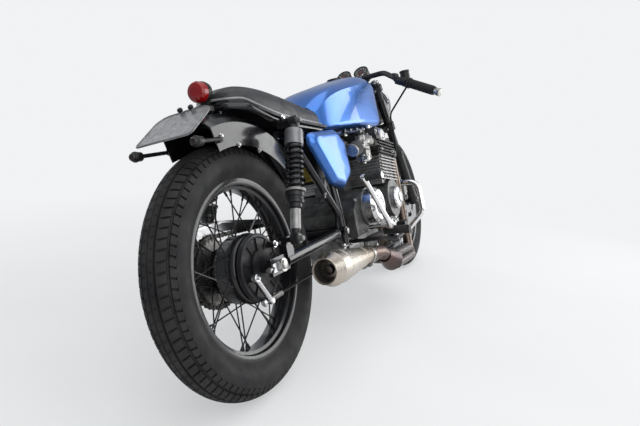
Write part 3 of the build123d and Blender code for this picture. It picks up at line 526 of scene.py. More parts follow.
# flanges: place along the axle, radius, and the nipple's place across the rim
wheel_mesh("rear_laced_wheel", "rear_wheel", 0, REAR_R, REAR_RIM_R, RIM_HALF, REAR_HUB,
           ((0.056, 0.060, 0.008), (-0.030, 0.090, -0.008)))
wheel_mesh("front_laced_wheel", "front_wheel", WHEELBASE, FRONT_R, FRONT_RIM_R, FRONT_RIM_HALF, FRONT_HUB,
           ((0.034, 0.048, 0.008), (-0.038, 0.060, -0.008)))


# Shock absorbers: body, collars, coil spring and shroud
def shock_mesh(sgn):
    side = "left" if sgn > 0 else "right"
    lo, hi = mm(60, sgn * 148, 386), mm(178, sgn * 148, 698)
    length = (hi - lo).length
    d = (hi - lo).normalized()
    b = Build()
    for c in (lo, hi):
        b.lathe([(0, 0.0135), (0.001, 0.015), (0.023, 0.015), (0.024, 0.0135)], c - LEFT * 0.012, c + LEFT,
                 28)
    b.lathe([(0.010, 0.009), (0.020, 0.012), (0.026, 0.0135), (0.082, 0.0135), (0.084, 0.019),
             (0.094, 0.019), (0.096, 0.0245), (0.104, 0.0255), (0.106, 0.0235), (0.112, 0.0235),
             (0.114, 0.0265), (0.124, 0.0265), (0.126, 0.0245), (0.128, 0.0245)], lo, hi, 40)
    b.lathe([(0.120, 0.0145), (length - 0.05, 0.0145)], lo, hi, 24)
    b.lathe([(length - 0.010, 0.010), (length - 0.016, 0.013), (length - 0.026, 0.0145)], lo, hi, 40)
    body = b.out("shock_body_" + side, "shock_finish")
    b = Build()
    b.lathe([(0.128, 0.020), (0.128, 0.0285), (0.1305, 0.0300), (0.1335, 0.0300), (0.135, 0.0285),
             (0.135, 0.020)], lo, hi, 40)
    b.lathe([(0.026, 0.0142), (0.080, 0.0142)], lo, hi, 32)
    b.out("shock_collar_" + side, "fin_alloy")
    coil_spring(lo, d, 0.139, length - 0.066).out("shock_spring_" + side, "frame_black")
    b = Build()
    shroud = ((0.070, 0.022), (0.072, 0.0255), (0.068, 0.0263), (0.034, 0.0263), (0.028, 0.0245),
              (0.025, 0.017), (0.024, 0.010))
    b.lathe([(length - back, r) for back, r in shroud], lo, hi, 40)
    b.out("shock_shroud_" + side, "shroud_grey")
    b = Build()
    for c in (lo, hi):
        b.lathe([(0, 0.013), (0.003, 0.013), (0.003, 0.009), (0.011, 0.0085), (0.013, 0.006)],
                c + LEFT * sgn * 0.012, c + LEFT * sgn, 6)
    b.out("shock_nuts_" + side, "case_alloy")
    return body


def coil_spring(start, d, s0, s1, turns=8.2, radius=0.0218, wire=0.0042):
    u = d.orthogonal().normalized()
    w = d.cross(u)
    steps = int(turns * 22)
    pts = []
    for i in range(steps + 1):
        f = i / steps
        a = turns * 2 * math.pi * f
        # end coils lie close together
        g = f + 0.02 * math.sin(2 * math.pi * f)
        pts.append(start + d * (s0 + (s1 - s0) * g) + (u * math.cos(a) + w * math.sin(a)) * radius)
    b = Build()
    b.tube(pts, wire, 10)
    return b


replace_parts(shock_mesh(1), "shock_absorbers")
shock_mesh(-1)


def smooth_rows(rows, count):
    # rows of a table read at even steps along the first column, with a smooth curve through them
    rows = sorted(rows)
    out = []
    for i in range(count + 1):
        x = rows[0][0] + (rows[-1][0] - rows[0][0]) * i / count
        k = max(j for j in range(len(rows) - 1) if rows[j][0] <= x + 1e-6)
        a, b = rows[k], rows[k + 1]
        before, after = rows[max(k - 1, 0)], rows[min(k + 2, len(rows) - 1)]
        t = (x - a[0]) / (b[0] - a[0])
        row = [x]
        for c in range(1, len(a)):
            ma = (b[c] - before[c]) / (b[0] - before[0]) * (b[0] - a[0])
            mb = (after[c] - a[c]) / (after[0] - a[0]) * (b[0] - a[0])
            row.append((2 * t**3 - 3 * t**2 + 1) * a[c] + (t**3 - 2 * t**2 + t) * ma
                       + (-2 * t**3 + 3 * t**2) * b[c] + (t**3 - t**2) * mb)
        out.append(row)
    return out


def skin(sections):
    # closed sections of equal count joined into one skin with flat ends
    m = len(sections[0])
    verts = [p for s in sections for p in s]
    faces = []
    for i in range(len(sections) - 1):
        for k in range(m):
            k2 = (k + 1) % m
            faces.append((i * m + k, i * m + k2, (i + 1) * m + k2, (i + 1) * m + k))
    faces.append(tuple(range(m)))
    faces.append(tuple(reversed(range(len(verts) - m, len(verts)))))
    return verts, faces


# Seat: a firm pad on its pan, with a welt round the lower edge
# rows in mm: x, half width, bottom z, top z
SEAT = [(9, 14, 776, 789), (14, 34, 774, 797), (24, 52, 773, 803), (55, 78, 769, 811), (98, 93, 751, 812),
        (150, 101, 734, 809), (211, 105, 721, 801), (300, 108, 710, 785), (400, 104, 702, 767),
        (466, 98, 697.5, 761)]
# how square the pad's section is, across and up
SEAT_ACROSS, SEAT_UP = 3.4, 2.6


def seat_pad():
    sections = []
    for x, half, low, top in smooth_rows(SEAT, 56):
        ring_pts = []
        for i in range(33):
            a = math.pi * i / 32
            c, s = math.cos(a), math.sin(a)
            y = half * math.copysign(abs(c) ** (2 / SEAT_ACROSS), c)
            ring_pts.append(mm(x, y, low + (top - low) * s ** (2 / SEAT_UP)))
        for i in range(1, 8):
            ring_pts.append(mm(x, -half * 0.98 + half * 1.96 * i / 8, low))
        sections.append(ring_pts)
    pad = piece("seat_pad", *skin(sections), "seat_black", "chassis", sharp=60)
    soften(pad, 0.005, 0.004)
    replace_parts(pad, "seat")


def soften(ob, voxel, cap):
    # the cover swells over its foam in a short cloth simulation, held within cap of the drawn shape
    re = ob.modifiers.new("remesh", "REMESH")
    re.mode, re.voxel_size = "VOXEL", voxel
    bpy.context.view_layer.objects.active = ob
    bpy.ops.object.select_all(action="DESELECT")
    ob.select_set(True)
    bpy.ops.object.modifier_apply(modifier="remesh")
    start = [v.co.copy() for v in ob.data.vertices]
    cl = ob.modifiers.new("cloth", "CLOTH")
    cl.settings.use_pressure = True
    cl.settings.uniform_pressure_force = 4
    cl.settings.effector_weights.gravity = 0
    scene = bpy.context.scene
    for f in range(1, 21):
        scene.frame_set(f)
    bpy.ops.object.modifier_apply(modifier="cloth")
    scene.frame_set(1)
    for v, p in zip(ob.data.vertices, start):
        step = v.co - p
        v.co = p + (step if step.length <= cap else step.normalized() * cap)
    ob.data.polygons.foreach_set("use_smooth", [True] * len(ob.data.polygons))


def seat_trim():
    rows = smooth_rows(SEAT, 60)
    right = [mm(x, -half - 0.5, low + 3.5) for x, half, low, _ in rows]
    left = [mm(x, half + 0.5, low + 3.5) for x, half, low, _ in rows]
    b = Build()
    # the welt round the lower edge, light grey as a painted highlight along the piping
    b.tube(right[::-1] + left, 0.0034, 10)
    b.out("seat_welt", "welt_painted_highlight", sharp=60)
    # a seam along each side of the top, just inside the shoulder
    seam_at = 0.80
    rise = (1 - seam_at ** SEAT_ACROSS) ** (1 / SEAT_UP)
    b = Build()
    for side in (-1, 1):
        line = []
        for x, half, low, top in rows[6:]:
            line.append(mm(x, side * half * seam_at, low + (top - low) * rise + 0.6))
        b.tube(line, 0.0013, 6)
    b.out("seat_seams", "seat_black", sharp=60)
    b = Build()
    for x, z in ((234, 712), (196, 717)):
        for side in (-1, 1):
            b.hexbolt(mm(x, side * 106.5, z), LEFT * side, 0.0052, 0.006)
    b.out("seat_bolts", "chrome")


seat_pad()
seat_trim()


# Places on the tilted engine, given in mm as the block stands upright
CRANK_X, CRANK_Z, ENGINE_TILT = 805, 395, math.radians(8)


def eng(x, y, z):
    c, s = math.cos(ENGINE_TILT), math.sin(ENGINE_TILT)
    dx, dz = x - CRANK_X, z - CRANK_Z
    return mm(CRANK_X + dx * c + dz * s, y, CRANK_Z - dx * s + dz * c)


def eng_dir(x, y, z):
    return eng(CRANK_X + x, y, CRANK_Z + z) - eng(CRANK_X, 0, CRANK_Z)


def dress(node, mat):
    # gives a carried-over CAD node a finer material than its slot's
    o = frame["nodes"][node]
    o.data.materials.clear()
    o.data.materials.append(MAT[mat])


DRESSED = {"cylinder_block": "fin_alloy", "crankcase": "case_alloy", "carburettors": "carb_metal",
           "kick_starter": "chrome", "right_engine_covers": "polished", "left_engine_covers": "polished",
           "footpegs": "fin_alloy", "filler_cap": "cap_dark"}
for part, metal in DRESSED.items():
    dress(part, metal)


# screws round the gearbox cover on the left and the crankcase on the right, as (x, z)
LEFT_SCREWS = ((472, 326), (560, 326), (640, 330), (690, 352), (690, 410), (606, 424), (532, 410), (470, 388))
RIGHT_SCREWS = ((500, 430), (640, 442), (760, 446), (870, 446), (894, 380), (890, 322), (780, 316),
                (690, 316), (520, 316))


def engine_covers():
    b = Build()
    clutch, dome = mm(596, 0, 395), mm(CRANK_X, 0, CRANK_Z)
    for i in range(8):
        r = spoke(i * 45 + 12)
        b.hexbolt(clutch + RIGHT * 0.195 + r * 0.0565, RIGHT, 0.0032, 0.005)
        b.hexbolt(dome + LEFT * 0.221 + r * 0.0655, LEFT, 0.0032, 0.005)
    for a in (0.6, 0.6 + math.pi):
        b.hexbolt(dome + RIGHT * 0.206 + spoke(math.degrees(a)) * 0.040, RIGHT, 0.0030, 0.0055)
    for x, z in LEFT_SCREWS:
        b.hexbolt(mm(x, 177.5, z), LEFT, 0.0034, 0.005)
    for x, z in RIGHT_SCREWS:
        b.hexbolt(mm(x, -149.5, z), RIGHT, 0.0038, 0.006)
    b.out("cover_screws", "plated")
    b = Build()
    # raised rings turned about each cover's middle, and an oil filler cap
    face = clutch + RIGHT * 0.204
    b.lathe([(0.000, 0.034), (0.0035, 0.034), (0.0045, 0.031), (0.0045, 0.026), (0.002, 0.024)],
            face, face + RIGHT, 48)
    b.lathe([(-0.010, 0.0205), (0.004, 0.0205), (0.006, 0.018), (0.006, 0.006), (0.004, 0.004)],
            face, face + RIGHT, 40)
    face = dome + LEFT * 0.230
    b.lathe([(0.0, 0.048), (0.004, 0.048), (0.0055, 0.045), (0.0055, 0.036), (0.002, 0.034)], face,
             face + LEFT, 56)
    face = dome + RIGHT * 0.215
    b.lathe([(0.0, 0.021), (0.004, 0.021), (0.006, 0.018), (0.006, 0.004)], face, face + RIGHT, 40)
    f = mm(690, -150, 350)
    b.lathe([(0.0, 0.020), (0.004, 0.020), (0.006, 0.017), (0.016, 0.016), (0.018, 0.013)], f, f + RIGHT, 10)
    # oil filter housing with its fins and bolt
    for i in range(6):
        b.lathe([(0.0, 0.034), (0.0, 0.0385), (0.003, 0.0385), (0.003, 0.034)], mm(908 + i * 7, 0, 300),
                 mm(990, 0, 300), 40)
    b.hexbolt(mm(949, 0, 300), AHEAD, 0.0075, 0.009)
    b.out("cover_rings", "polished", bevel=0.0004)


def cylinder_head_parts():
    # tappet caps on the cam cover, cam end caps, plug caps and finned pipe collars
    b = Build()
    for y in (-135, -85, -35, 35, 85, 135):
        for x in (-30, 30):
            p = eng(CRANK_X + x, y, 672)
            b.lathe([(0.0, 0.0165), (0.006, 0.0165), (0.0075, 0.014)], p, p + eng_dir(0, 0, 100), 24)
            b.lathe([(0.0075, 0.0085), (0.0135, 0.0085), (0.0145, 0.0075)], p, p + eng_dir(0, 0, 100), 6)
    for side in (-1, 1):
        p = eng(CRANK_X, side * 170, 640)
        b.lathe([(0.0, 0.030), (0.007, 0.030), (0.010, 0.026), (0.010, 0.012), (0.008, 0.010)], p,
                 p + LEFT * side, 36)
        for x, z in ((-52, 655), (52, 655), (-64, 580), (64, 580)):
            y = 170 if z > 640 else 190
            b.hexbolt(eng(CRANK_X + x, side * (y - 1), z), LEFT * side, 0.0045, 0.006)
    b.out("cam_caps", "polished", bevel=0.0003)
    b = Build()
    for y in (-160, -60, 60, 160):
        p, q = eng(CRANK_X + 91, y, 581), eng(CRANK_X + 125, y, 571)
        prof = []
        for i in range(4):
            prof += [(0.005 * i, 0.0245), (0.005 * i, 0.031), (0.005 * i + 0.0024, 0.031),
                     (0.005 * i + 0.0024, 0.0245)]
        b.lathe(prof, p, q, 36)
        d = (q - p).normalized()
        for s in (-1, 1):
            b.hexbolt(p + LEFT * s * 0.027 + d * 0.018, d, 0.0042, 0.008)
    b.out("pipe_collars", "case_alloy")
    b = Build()
    for y in (-142, -78, 42, 142):
        p = eng(CRANK_X + 74, y + 8, 628)
        d = eng_dir(66, 0, 42).normalized()
        b.lathe([(0.0, 0.0075), (0.016, 0.0085), (0.018, 0.0105), (0.034, 0.0105), (0.038, 0.0085),
                 (0.048, 0.0080), (0.051, 0.006)], p, p + d, 20)
    b.out("plug_caps", "rubber_black")


def carb_parts():
    bright, dark, pods = Build(), Build(), Build()
    link = mm(640, 0, 664)
    for y in (-160, -60, 60, 160):
        c = mm(640, y, 580)
        # float bowl with its drain and screws, slide cap with its arm, and hose clamps
        bright.lathe([(0.0, 0.0185), (0.004, 0.0225), (0.020, 0.0235), (0.022, 0.0265), (0.026, 0.0265)],
                      c - mm(0, 0, 30), c, 28)
        bright.lathe([(0.0, 0.005), (0.007, 0.006)], c - mm(0, 0, 36), c, 6)
        dark.lathe([(0.0, 0.0190), (0.010, 0.0190), (0.013, 0.0165), (0.013, 0.005), (0.018, 0.004)],
                    mm(640, y, 646), mm(640, y, 700), 28)
        for s in (-1, 1):
            bright.hexbolt(mm(640, y + s * 14, 658), UP, 0.0022, 0.004)
            bright.hexbolt(mm(640 + s * 17, y - 21, 566), RIGHT, 0.0022, 0.004)
        bright.box(mm(640, y + 4, 661), (0.030, 0.004, 0.010))
        for x, z, r in ((692, 626.4, 0.0222), (604, 607.3, 0.0222), (728, 620.2, 0.0182)):
            p = mm(x, y, z)
            d = Vector((1, 0, 0.12)).normalized()
            bright.lathe([(0.0, r - 0.001), (0.0, r), (0.008, r), (0.008, r - 0.001)], p, p + d, 32)
            bright.hexbolt(p + d * 0.004 + Vector((0, -0.006, r)), RIGHT, 0.0024, 0.006)
        # idle screw and fuel stub on the outer side
        bright.rod(mm(655, y - 20, 612), mm(655, y - 31, 612), 0.0028, 10)
        bright.rod(mm(624, y - 20, 596), mm(624, y - 34, 590), 0.0030, 10)
        # pleated filter with its end cap
        p, q = mm(589, y, 604.2), mm(545, y, 595)
        d = (q - p).normalized()
        u = d.orthogonal().normalized()
        w = d.cross(u)
        rings = []
        for t, k in ((0.0005, 0.96), (0.003, 1.0), (0.040, 1.0), (0.043, 0.97)):
            rad = (0.0262 - 0.0040 * t / 0.045) * k
            ring = []
            for i in range(84):
                a = 2 * math.pi * i / 84
                r = rad - (0.0016 if i % 2 and 0.002 < t < 0.041 else 0.0)
                ring.append(p + d * t + (u * math.cos(a) + w * math.sin(a)) * r)
            rings.append(ring)
        pods.add(*skin(rings))
        bright.lathe([(0.0425, 0.0222), (0.0455, 0.0222), (0.0470, 0.0200), (0.0465, 0.008)], p, q, 32)
    bright.rod(link - mm(0, 182, 0), link + mm(0, 182, 0), 0.0032, 12)
    for y in (-172, -110, -10, 110, 172):
        bright.box(link + mm(-6, y, -4), (0.024, 0.003, 0.011))
    bright.out("carb_fittings", "plated", bevel=0.0002)
    dark.out("carb_caps", "satin_black")
    made = pods.out("filter_pleats", "filter_black", sharp=20)
    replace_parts(made, "air_filters")


def foot_controls():
    rubber, bright = Build(), Build()
    for side in (-1, 1):
        p, q = mm(616, side * 190, 300), mm(616, side * 288, 292)
        prof = [(0.004, 0.0132)]
        for i in range(9):
            a = 0.006 + i * 0.0098
            prof += [(a, 0.0142), (a + 0.001, 0.0156), (a + 0.006, 0.0156), (a + 0.007, 0.0142)]
        prof += [(0.0965, 0.0150), (0.0985, 0.0120)]
        rubber.lathe(prof, p, q, 28)
        bright.hexbolt(mm(616, side * 118, 268), LEFT * side, 0.0062, 0.008)
    # pedal pad with its studs, lever rubbers
    rubber.box(mm(750, -222, 304.6), (0.042, 0.032, 0.003))
    for i in range(5):
        for j in range(4):
            rubber.box(mm(734 + i * 8, -233 + j * 7.4, 307), (0.0048, 0.0044, 0.0026))
    for p, q, r in ((mm(733, 238, 316.5), mm(733, 292, 316.5), 0.0094),
                    (mm(424, -232, 500), mm(424, -288, 500), 0.0104)):
        n = 7
        span = (q - p).length
        prof = [(0.0, r)]
        for i in range(n):
            a = 0.002 + i * (span - 0.004) / n
            prof += [(a, r + 0.0002), (a + 0.001, r + 0.0016), (a + 0.005, r + 0.0016),
                     (a + 0.006, r + 0.0002)]
        prof += [(span, r)]
        rubber.lathe(prof, p, q, 24)
    rubber.out("foot_rubbers", "rubber_black", bevel=0.0004)
    # kick boss with its pinch bolt, and the crank's arm
    bright.lathe([(0.0, 0.0135), (0.002, 0.0145), (0.018, 0.0145), (0.020, 0.0135), (0.0205, 0.008)],
                  mm(594, -218, 319), mm(594, -300, 319), 32)
    bright.hexbolt(mm(594, -238, 319), RIGHT, 0.0060, 0.006)
    arm = (mm(424, -228, 500) - mm(594, -228, 319)).normalized()
    bright.lathe([(0.010, 0.0125), (0.030, 0.0095), (0.120, 0.0086), (0.225, 0.0090), (0.236, 0.0118),
                  (0.246, 0.0125), (0.256, 0.0105)], mm(594, -228, 319), mm(594, -228, 319) + arm, 24)
    bright.out("foot_fittings", "chrome")


def brake_side():
    # polished cam lever, its rod end with the return spring, panel ribs and stay bolts
    b = Build()
    p, q = mm(-62, -83.5, 318), mm(-14, -83.5, 246)
    b.tube([p, p.lerp(q, 0.33), p.lerp(q, 0.66), q], 0.0068, 16)
    b.lathe([(0.0, 0.0108), (0.012, 0.0108), (0.014, 0.009)], p + mm(0, 7, 0), p + RIGHT, 24)
    b.lathe([(0.0, 0.0092), (0.011, 0.0092), (0.013, 0.007)], q + mm(0, 6, 0), q + RIGHT, 24)
    b.hexbolt(p - mm(0, 6.5, 0), RIGHT, 0.0048, 0.006)
    b.rod(mm(-34, -72, 246), mm(-6, -72, 246), 0.0048, 6)
    b.lathe([(0.0, 0.006), (0.005, 0.0105), (0.009, 0.0060)], mm(-36, -72, 246), mm(0, -72, 246), 12)
    b.hexbolt(mm(60, -81, 380), RIGHT, 0.0062, 0.007)
    b.hexbolt(mm(0, -101, 333), RIGHT, 0.010, 0.006)
    b.out("brake_lever", "polished")
    b = Build()
    pts = []
    for i in range(15 * 12 + 1):
        a = 2 * math.pi * i / 12
        pts.append(mm(-2 + 62 * i / 180, -72 + 6.4 * math.cos(a), 246 + 6.4 * math.sin(a)))
    b.tube(pts, 0.0011, 6)
    b.out("brake_spring", "plated")
    b = Build()
    hub = mm(0, -61, 333)
    b.lathe([(0.0, 0.0885), (0.0025, 0.0885), (0.004, 0.0865), (0.004, 0.0795), (0.0012, 0.0775)], hub,
             hub + RIGHT, 80)
    for i in range(10):
        r = spoke(i * 36 + 18)
        b.box(hub + r * 0.062 + mm(0, -2, 0), (0.031, 0.006, 0.0035), (r, LEFT, r.cross(LEFT)))
    b.out("brake_panel_ribs", "satin_black", bevel=0.0006)


engine_covers()
cylinder_head_parts()
carb_parts()
foot_controls()
brake_side()


# corners of the side cover in mm, as (x, z), its corner radius and the place of its flat back
COVER_CORNERS = [(254, 666), (470, 674), (528, 630), (538, 515), (470, 478), (390, 500)]
COVER_RADIUS, COVER_BACK = 24, 124


def rounded_outline(corners, radius, steps=6):
    outline = []
    n = len(corners)
    for k in range(n):
        p, c, q = (Vector((*corners[j % n], 0)) for j in (k - 1, k, k + 1))
        a, b = (p - c).normalized(), (q - c).normalized()
        half = a.angle(b) / 2
        reach = radius / math.tan(half)
        mid = c + (a + b).normalized() * radius / math.sin(half)
        start, end = c + a * reach - mid, c + b * reach - mid
        outline += [mid + start.lerp(end, i / steps).normalized() * radius for i in range(steps + 1)]
    return outline


def even_points(outline, count):
    lengths = [(outline[(i + 1) % len(outline)] - outline[i]).length for i in range(len(outline))]
    total = sum(lengths)
    pts = []
    for i in range(count):
        u, k = total * i / count, 0
        while u > lengths[k]:
            u -= lengths[k]
            k += 1
        pts.append(outline[k].lerp(outline[(k + 1) % len(outline)], u / lengths[k]))
    return pts


def side_cover(sgn):
    # a pressed panel: flat back, a rim that turns over, and a crowned face
    pts = even_points(rounded_outline(COVER_CORNERS, COVER_RADIUS), 96)
    mid = sum(pts, Vector()) / len(pts)
    rings = [[mm(p.x, sgn * COVER_BACK, p.y) for p in pts]]
    levels = 15
    for j in range(levels):
        t = j / levels
        inset = 0.94 * (0.5 * t ** 1.6 + 0.5 * t)
        rim, crown = 15.5 * math.sin(math.pi / 2 * min(1, t * 3.2)), 5.5 * (1 - (1 - t) ** 2)
        y = sgn * (COVER_BACK + 10 + rim + crown)
        rings.append([mm(v.x, y, v.y) for v in (p.lerp(mid, inset) for p in pts)])
    name = "side_panel_left" if sgn > 0 else "side_panel_right"
    return piece(name, *skin(rings), "tank_blue", "chassis", sharp=50)


def side_covers():
    panels = [side_cover(1), side_cover(-1)]
    pegs = Build()
    for s in (-1, 1):
        for x, z in ((444, 530), (441, 640)):
            pegs.rod(mm(x, s * 130, z), mm(x, s * 101, z), 0.006, 16)
    pegs.out("side_panel_pegs", "rubber_black")
    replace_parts(panels[0], "side_covers")


def tail_parts():
    # plate rim and caps, lamp bezel, mudguard bolts, indicator lenses
    b = Build()
    c, s = math.cos(math.radians(33)), math.sin(math.radians(33))
    origin = mm(-66, 0, 757)
    ax = (LEFT, Vector((-c, 0, -s)), Vector((-s, 0, c)))

    def on_plate(u, v, w):
        return origin + ax[0] * u / 1000 + ax[1] * v / 1000 + ax[2] * w / 1000

    def rounded(u0, u1, v0, v1, r0, r1):
        # corner radii: r0 along the top edge v0, r1 along the low edge v1
        pts = []
        for cu, cv, r, a0 in ((u1 - r0, v0 + r0, r0, -90), (u1 - r1, v1 - r1, r1, 0),
                              (u0 + r1, v1 - r1, r1, 90), (u0 + r0, v0 + r0, r0, 180)):
            for i in range(9):
                a = math.radians(a0 + i * 90 / 8)
                pts.append((cu + r * math.cos(a), cv + r * math.sin(a)))
        return pts

    rim = [on_plate(u, v, 1.5) for u, v in rounded(-72, 96, 4, 134, 37, 11)]
    b.tube(rim, 0.0016, 8, closed=True)
    b.out("plate_rim", "plate_grey", sharp=60)
    b = Build()
    for u in (-10, 24):
        p = on_plate(u, 8, 6)
        b.lathe([(0.0, 0.0062), (0.003, 0.0072), (0.007, 0.0068), (0.0095, 0.004)], p, p + ax[2], 20)
    for u in (-22, 22):
        b.hexbolt(on_plate(u, 60, -5.4), -ax[2], 0.0035, 0.005)
    b.out("plate_caps", "plastic_black")
    b = Build()
    b.lathe([(0.0, 0.0262), (0.0, 0.0280), (0.005, 0.0284), (0.009, 0.0280), (0.010, 0.0268)],
             mm(-4, 0, 803), mm(-40, 0, 803), 56)
    b.out("lamp_bezel", "plastic_black")
    b = Build()
    for y in (-1, 1):
        for x, z in ((-3, 652), (88, 634), (-70, 676)):
            b.hexbolt(mm(x, y * 74.5, z), LEFT * y, 0.0042, 0.006)
    b.out("mudguard_bolts", "plated")
    b = Build()
    for y in (-92, 92):
        p = mm(-196, y, 663)
        b.lathe([(0.0, 0.0096), (0.003, 0.0100), (0.006, 0.0078), (0.0075, 0.003)], p, p - AHEAD, 28)
    b.out("indicator_lenses", "smoked_amber")
    b = Build()
    for y in (-92, 92):
        p = mm(-166, y, 663)
        b.lathe([(0.020, 0.0124), (0.022, 0.0132), (0.026, 0.0130), (0.028, 0.0120)], p, p - AHEAD, 32)
    b.out("indicator_rims", "plastic_black")


def muffler_parts():
    # rolled outlet lip and weld beads, front clamp, and the sooty lining and baffle seen in the outlet
    p, q = mm(522, -160, 238), mm(170, -156, 268)
    end = (q - p).length
    d = (q - p).normalized()
    b = Build()
    b.lathe([(end - 0.004, 0.0378), (end - 0.003, 0.0392), (end + 0.0005, 0.0396), (end + 0.0020, 0.0382),
             (end + 0.0012, 0.0352), (end - 0.003, 0.0342)], p, q, 64, close=True)
    for x, r in ((0.090, 0.0332), (end - 0.090, 0.0502), (end - 0.040, 0.0502)):
        b.lathe([(x - 0.0022, r - 0.0006), (x - 0.001, r + 0.0008), (x + 0.001, r + 0.0008),
                 (x + 0.0022, r - 0.0006)], p, q, 64)
    b.out("muffler_lip", "stainless", sharp=50)
    b = Build()
    b.lathe([(0.004, 0.0272), (0.004, 0.0292), (0.006, 0.0300), (0.022, 0.0300), (0.024, 0.0292),
             (0.024, 0.0272)], p, q, 48)
    b.box(p + d * 0.014 + mm(0, 0, -34), (0.018, 0.010, 0.016))
    b.hexbolt(p + d * 0.014 + mm(0, -5, -35), RIGHT, 0.0045, 0.007)
    b.out("muffler_clamp", "plated")
    b = Build()
    b.lathe([(end - 0.060, 0.0337), (end - 0.0035, 0.0339), (end - 0.0035, 0.0331), (end - 0.060, 0.0329)],
            p, q, 48, close=True)
    b.lathe([(end - 0.062, 0.0328), (end - 0.060, 0.0328), (end - 0.060, 0.016), (end - 0.022, 0.0145),
             (end - 0.021, 0.0128), (end - 0.058, 0.0128), (end - 0.062, 0.014)], p, q, 40, close=True)
    b.out("muffler_baffle", "soot")


def frame_bolts():
    b = Build()
    for s in (-1, 1):
        out = LEFT * s
        b.hexbolt(mm(430, s * 130, 340), out, 0.0098, 0.010)
        b.hexbolt(mm(0, s * 134, 333), out, 0.0115, 0.006)
        for x, z in ((470, 284), (548, 284)):
            if s > 0 or x == 470:
                b.hexbolt(mm(x, s * 111.5, z), out, 0.0058, 0.007)
        for x, z in ((900, 196), (1000, 196)):
            b.hexbolt(mm(x, s * 110, z + 9), UP, 0.0052, 0.006)
        for x in (-40, -58):
            b.lathe([(0.0, 0.0072), (0.0045, 0.0072)], mm(x, s * 124, 333), mm(x - 20, s * 124, 333), 6)
    b.hexbolt(mm(1036, -23, 462), RIGHT, 0.0048, 0.006)
    b.hexbolt(mm(1036, -23, 440), RIGHT, 0.0048, 0.006)
    b.out("frame_bolts", "plated")


def fork_parts():
    # bolts of the clamps, caps of the fork tubes, and dust seals
    n, half = FORK_N * 1000, FORK_Y * 1000
    up = (st(0, 0, 1.0) - st(0, 0, 0)).normalized()
    fwd = (st(1.0, 0, 0) - st(0, 0, 0)).normalized()
    b = Build()
    b.hexbolt(st_mm(0, 0, 957), up, 0.0145, 0.012)
    for y in (-half, half):
        b.lathe([(0.0, 0.0185), (0.002, 0.0192), (0.006, 0.0185), (0.007, 0.012)], st_mm(n, y, 963),
                 st_mm(n, y, 1100), 32)
        b.hexbolt(st_mm(n, y, 969), up, 0.0092, 0.006)
        for s in (935, 745):
            b.hexbolt(st_mm(20, y, s), -fwd, 0.0045, 0.008)
    for y in (-54, -36, 36, 54):
        for ahead in (13, 35):
            b.hexbolt(st_mm(ahead, y, 1015), up, 0.0036, 0.006)
    for side in (-1, 1):
        b.hexbolt(mm(WHEELBASE * 1000, side * 111, FRONT_R * 1000), LEFT * side, 0.0105, 0.010)
    b.out("clamp_bolts", "plated", "steering")
    b = Build()
    for y in (-half, half):
        b.lathe([(-0.004, 0.0178), (-0.002, 0.0262), (0.006, 0.0262), (0.012, 0.0215), (0.026, 0.0195),
                 (0.030, 0.0178)], st_mm(n, y, 611), st_mm(n, y, 800), 36)
    b.out("fork_seals", "rubber_black", "steering")


# The dials' tilt, and their scale's start and sweep, in degrees; then its ticks and its numbers
DIAL_TILT, DIAL_FROM, DIAL_SWEEP = 50, 225, 270
DIAL_TICKS, DIAL_NUMBERS = 24, 8


def dial_number(side, i, place, axes):
    t = bpy.data.curves.new("dial_number", "FONT")
    t.body = str(i if side == "left" else i * 20)
    t.size, t.align_x, t.align_y, t.extrude = 0.0058, "CENTER", "CENTER", 0.0002
    t.materials.append(MAT["ivory"])
    ob = new_object(f"dial_number_{side}_{i}", t)
    m = Matrix(axes).transposed().to_4x4()
    m.translation = place
    ob.matrix_world = BIKE @ m
    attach(ob, "steering")


def dial_parts():
    # two dials with plain numbers, ticks and a hand each
    tilt = math.radians(DIAL_TILT)
    face = Vector((-math.sin(tilt), 0, math.cos(tilt)))
    over = face.cross(RIGHT)

    def outward(degrees):
        a = math.radians(degrees)
        return RIGHT * math.cos(a) + over * math.sin(a)

    bezel, dial, marks, hand = Build(), Build(), Build(), Build()
    for side, y in (("right", -42), ("left", 42)):
        c = st_mm(78, y, 1001) + face * 0.022
        bezel.lathe([(-0.006, 0.0332), (-0.003, 0.0345), (0.002, 0.0345), (0.003, 0.0335), (0.003, 0.0300),
                     (0.0005, 0.0295)], c, c + face, 56)
        dial.lathe([(0.0004, 0.0300), (0.0008, 0.0300)], c, c + face, 48)
        for i in range(DIAL_TICKS + 1):
            r = outward(DIAL_FROM - i * DIAL_SWEEP / DIAL_TICKS)
            reach, size = (0.0255, 0.0045) if i % 3 == 0 else (0.0262, 0.0026)
            marks.box(c + face * 0.0011 + r * reach, (size, 0.0009, 0.0004), (r, face.cross(r), face))
        for i in range(DIAL_NUMBERS + 1):
            r = outward(DIAL_FROM - i * DIAL_SWEEP / DIAL_NUMBERS)
            dial_number(side, i, c + face * 0.0011 + r * 0.0195, (RIGHT, over, face))
        r = outward(DIAL_FROM)
        hand.box(c + face * 0.0014 + r * 0.009, (0.024, 0.0012, 0.0005), (r, face.cross(r), face))
        hand.lathe([(0.0010, 0.0034), (0.0017, 0.0034)], c, c + face, 20)
    bezel.out("dial_bezels", "satin_black", "steering")
    dial.out("dial_faces", "dial_face", "steering")
    marks.out("dial_marks", "ivory", "steering", smooth=False)
    hand.out("dial_hands", "hand_red", "steering", smooth=False)


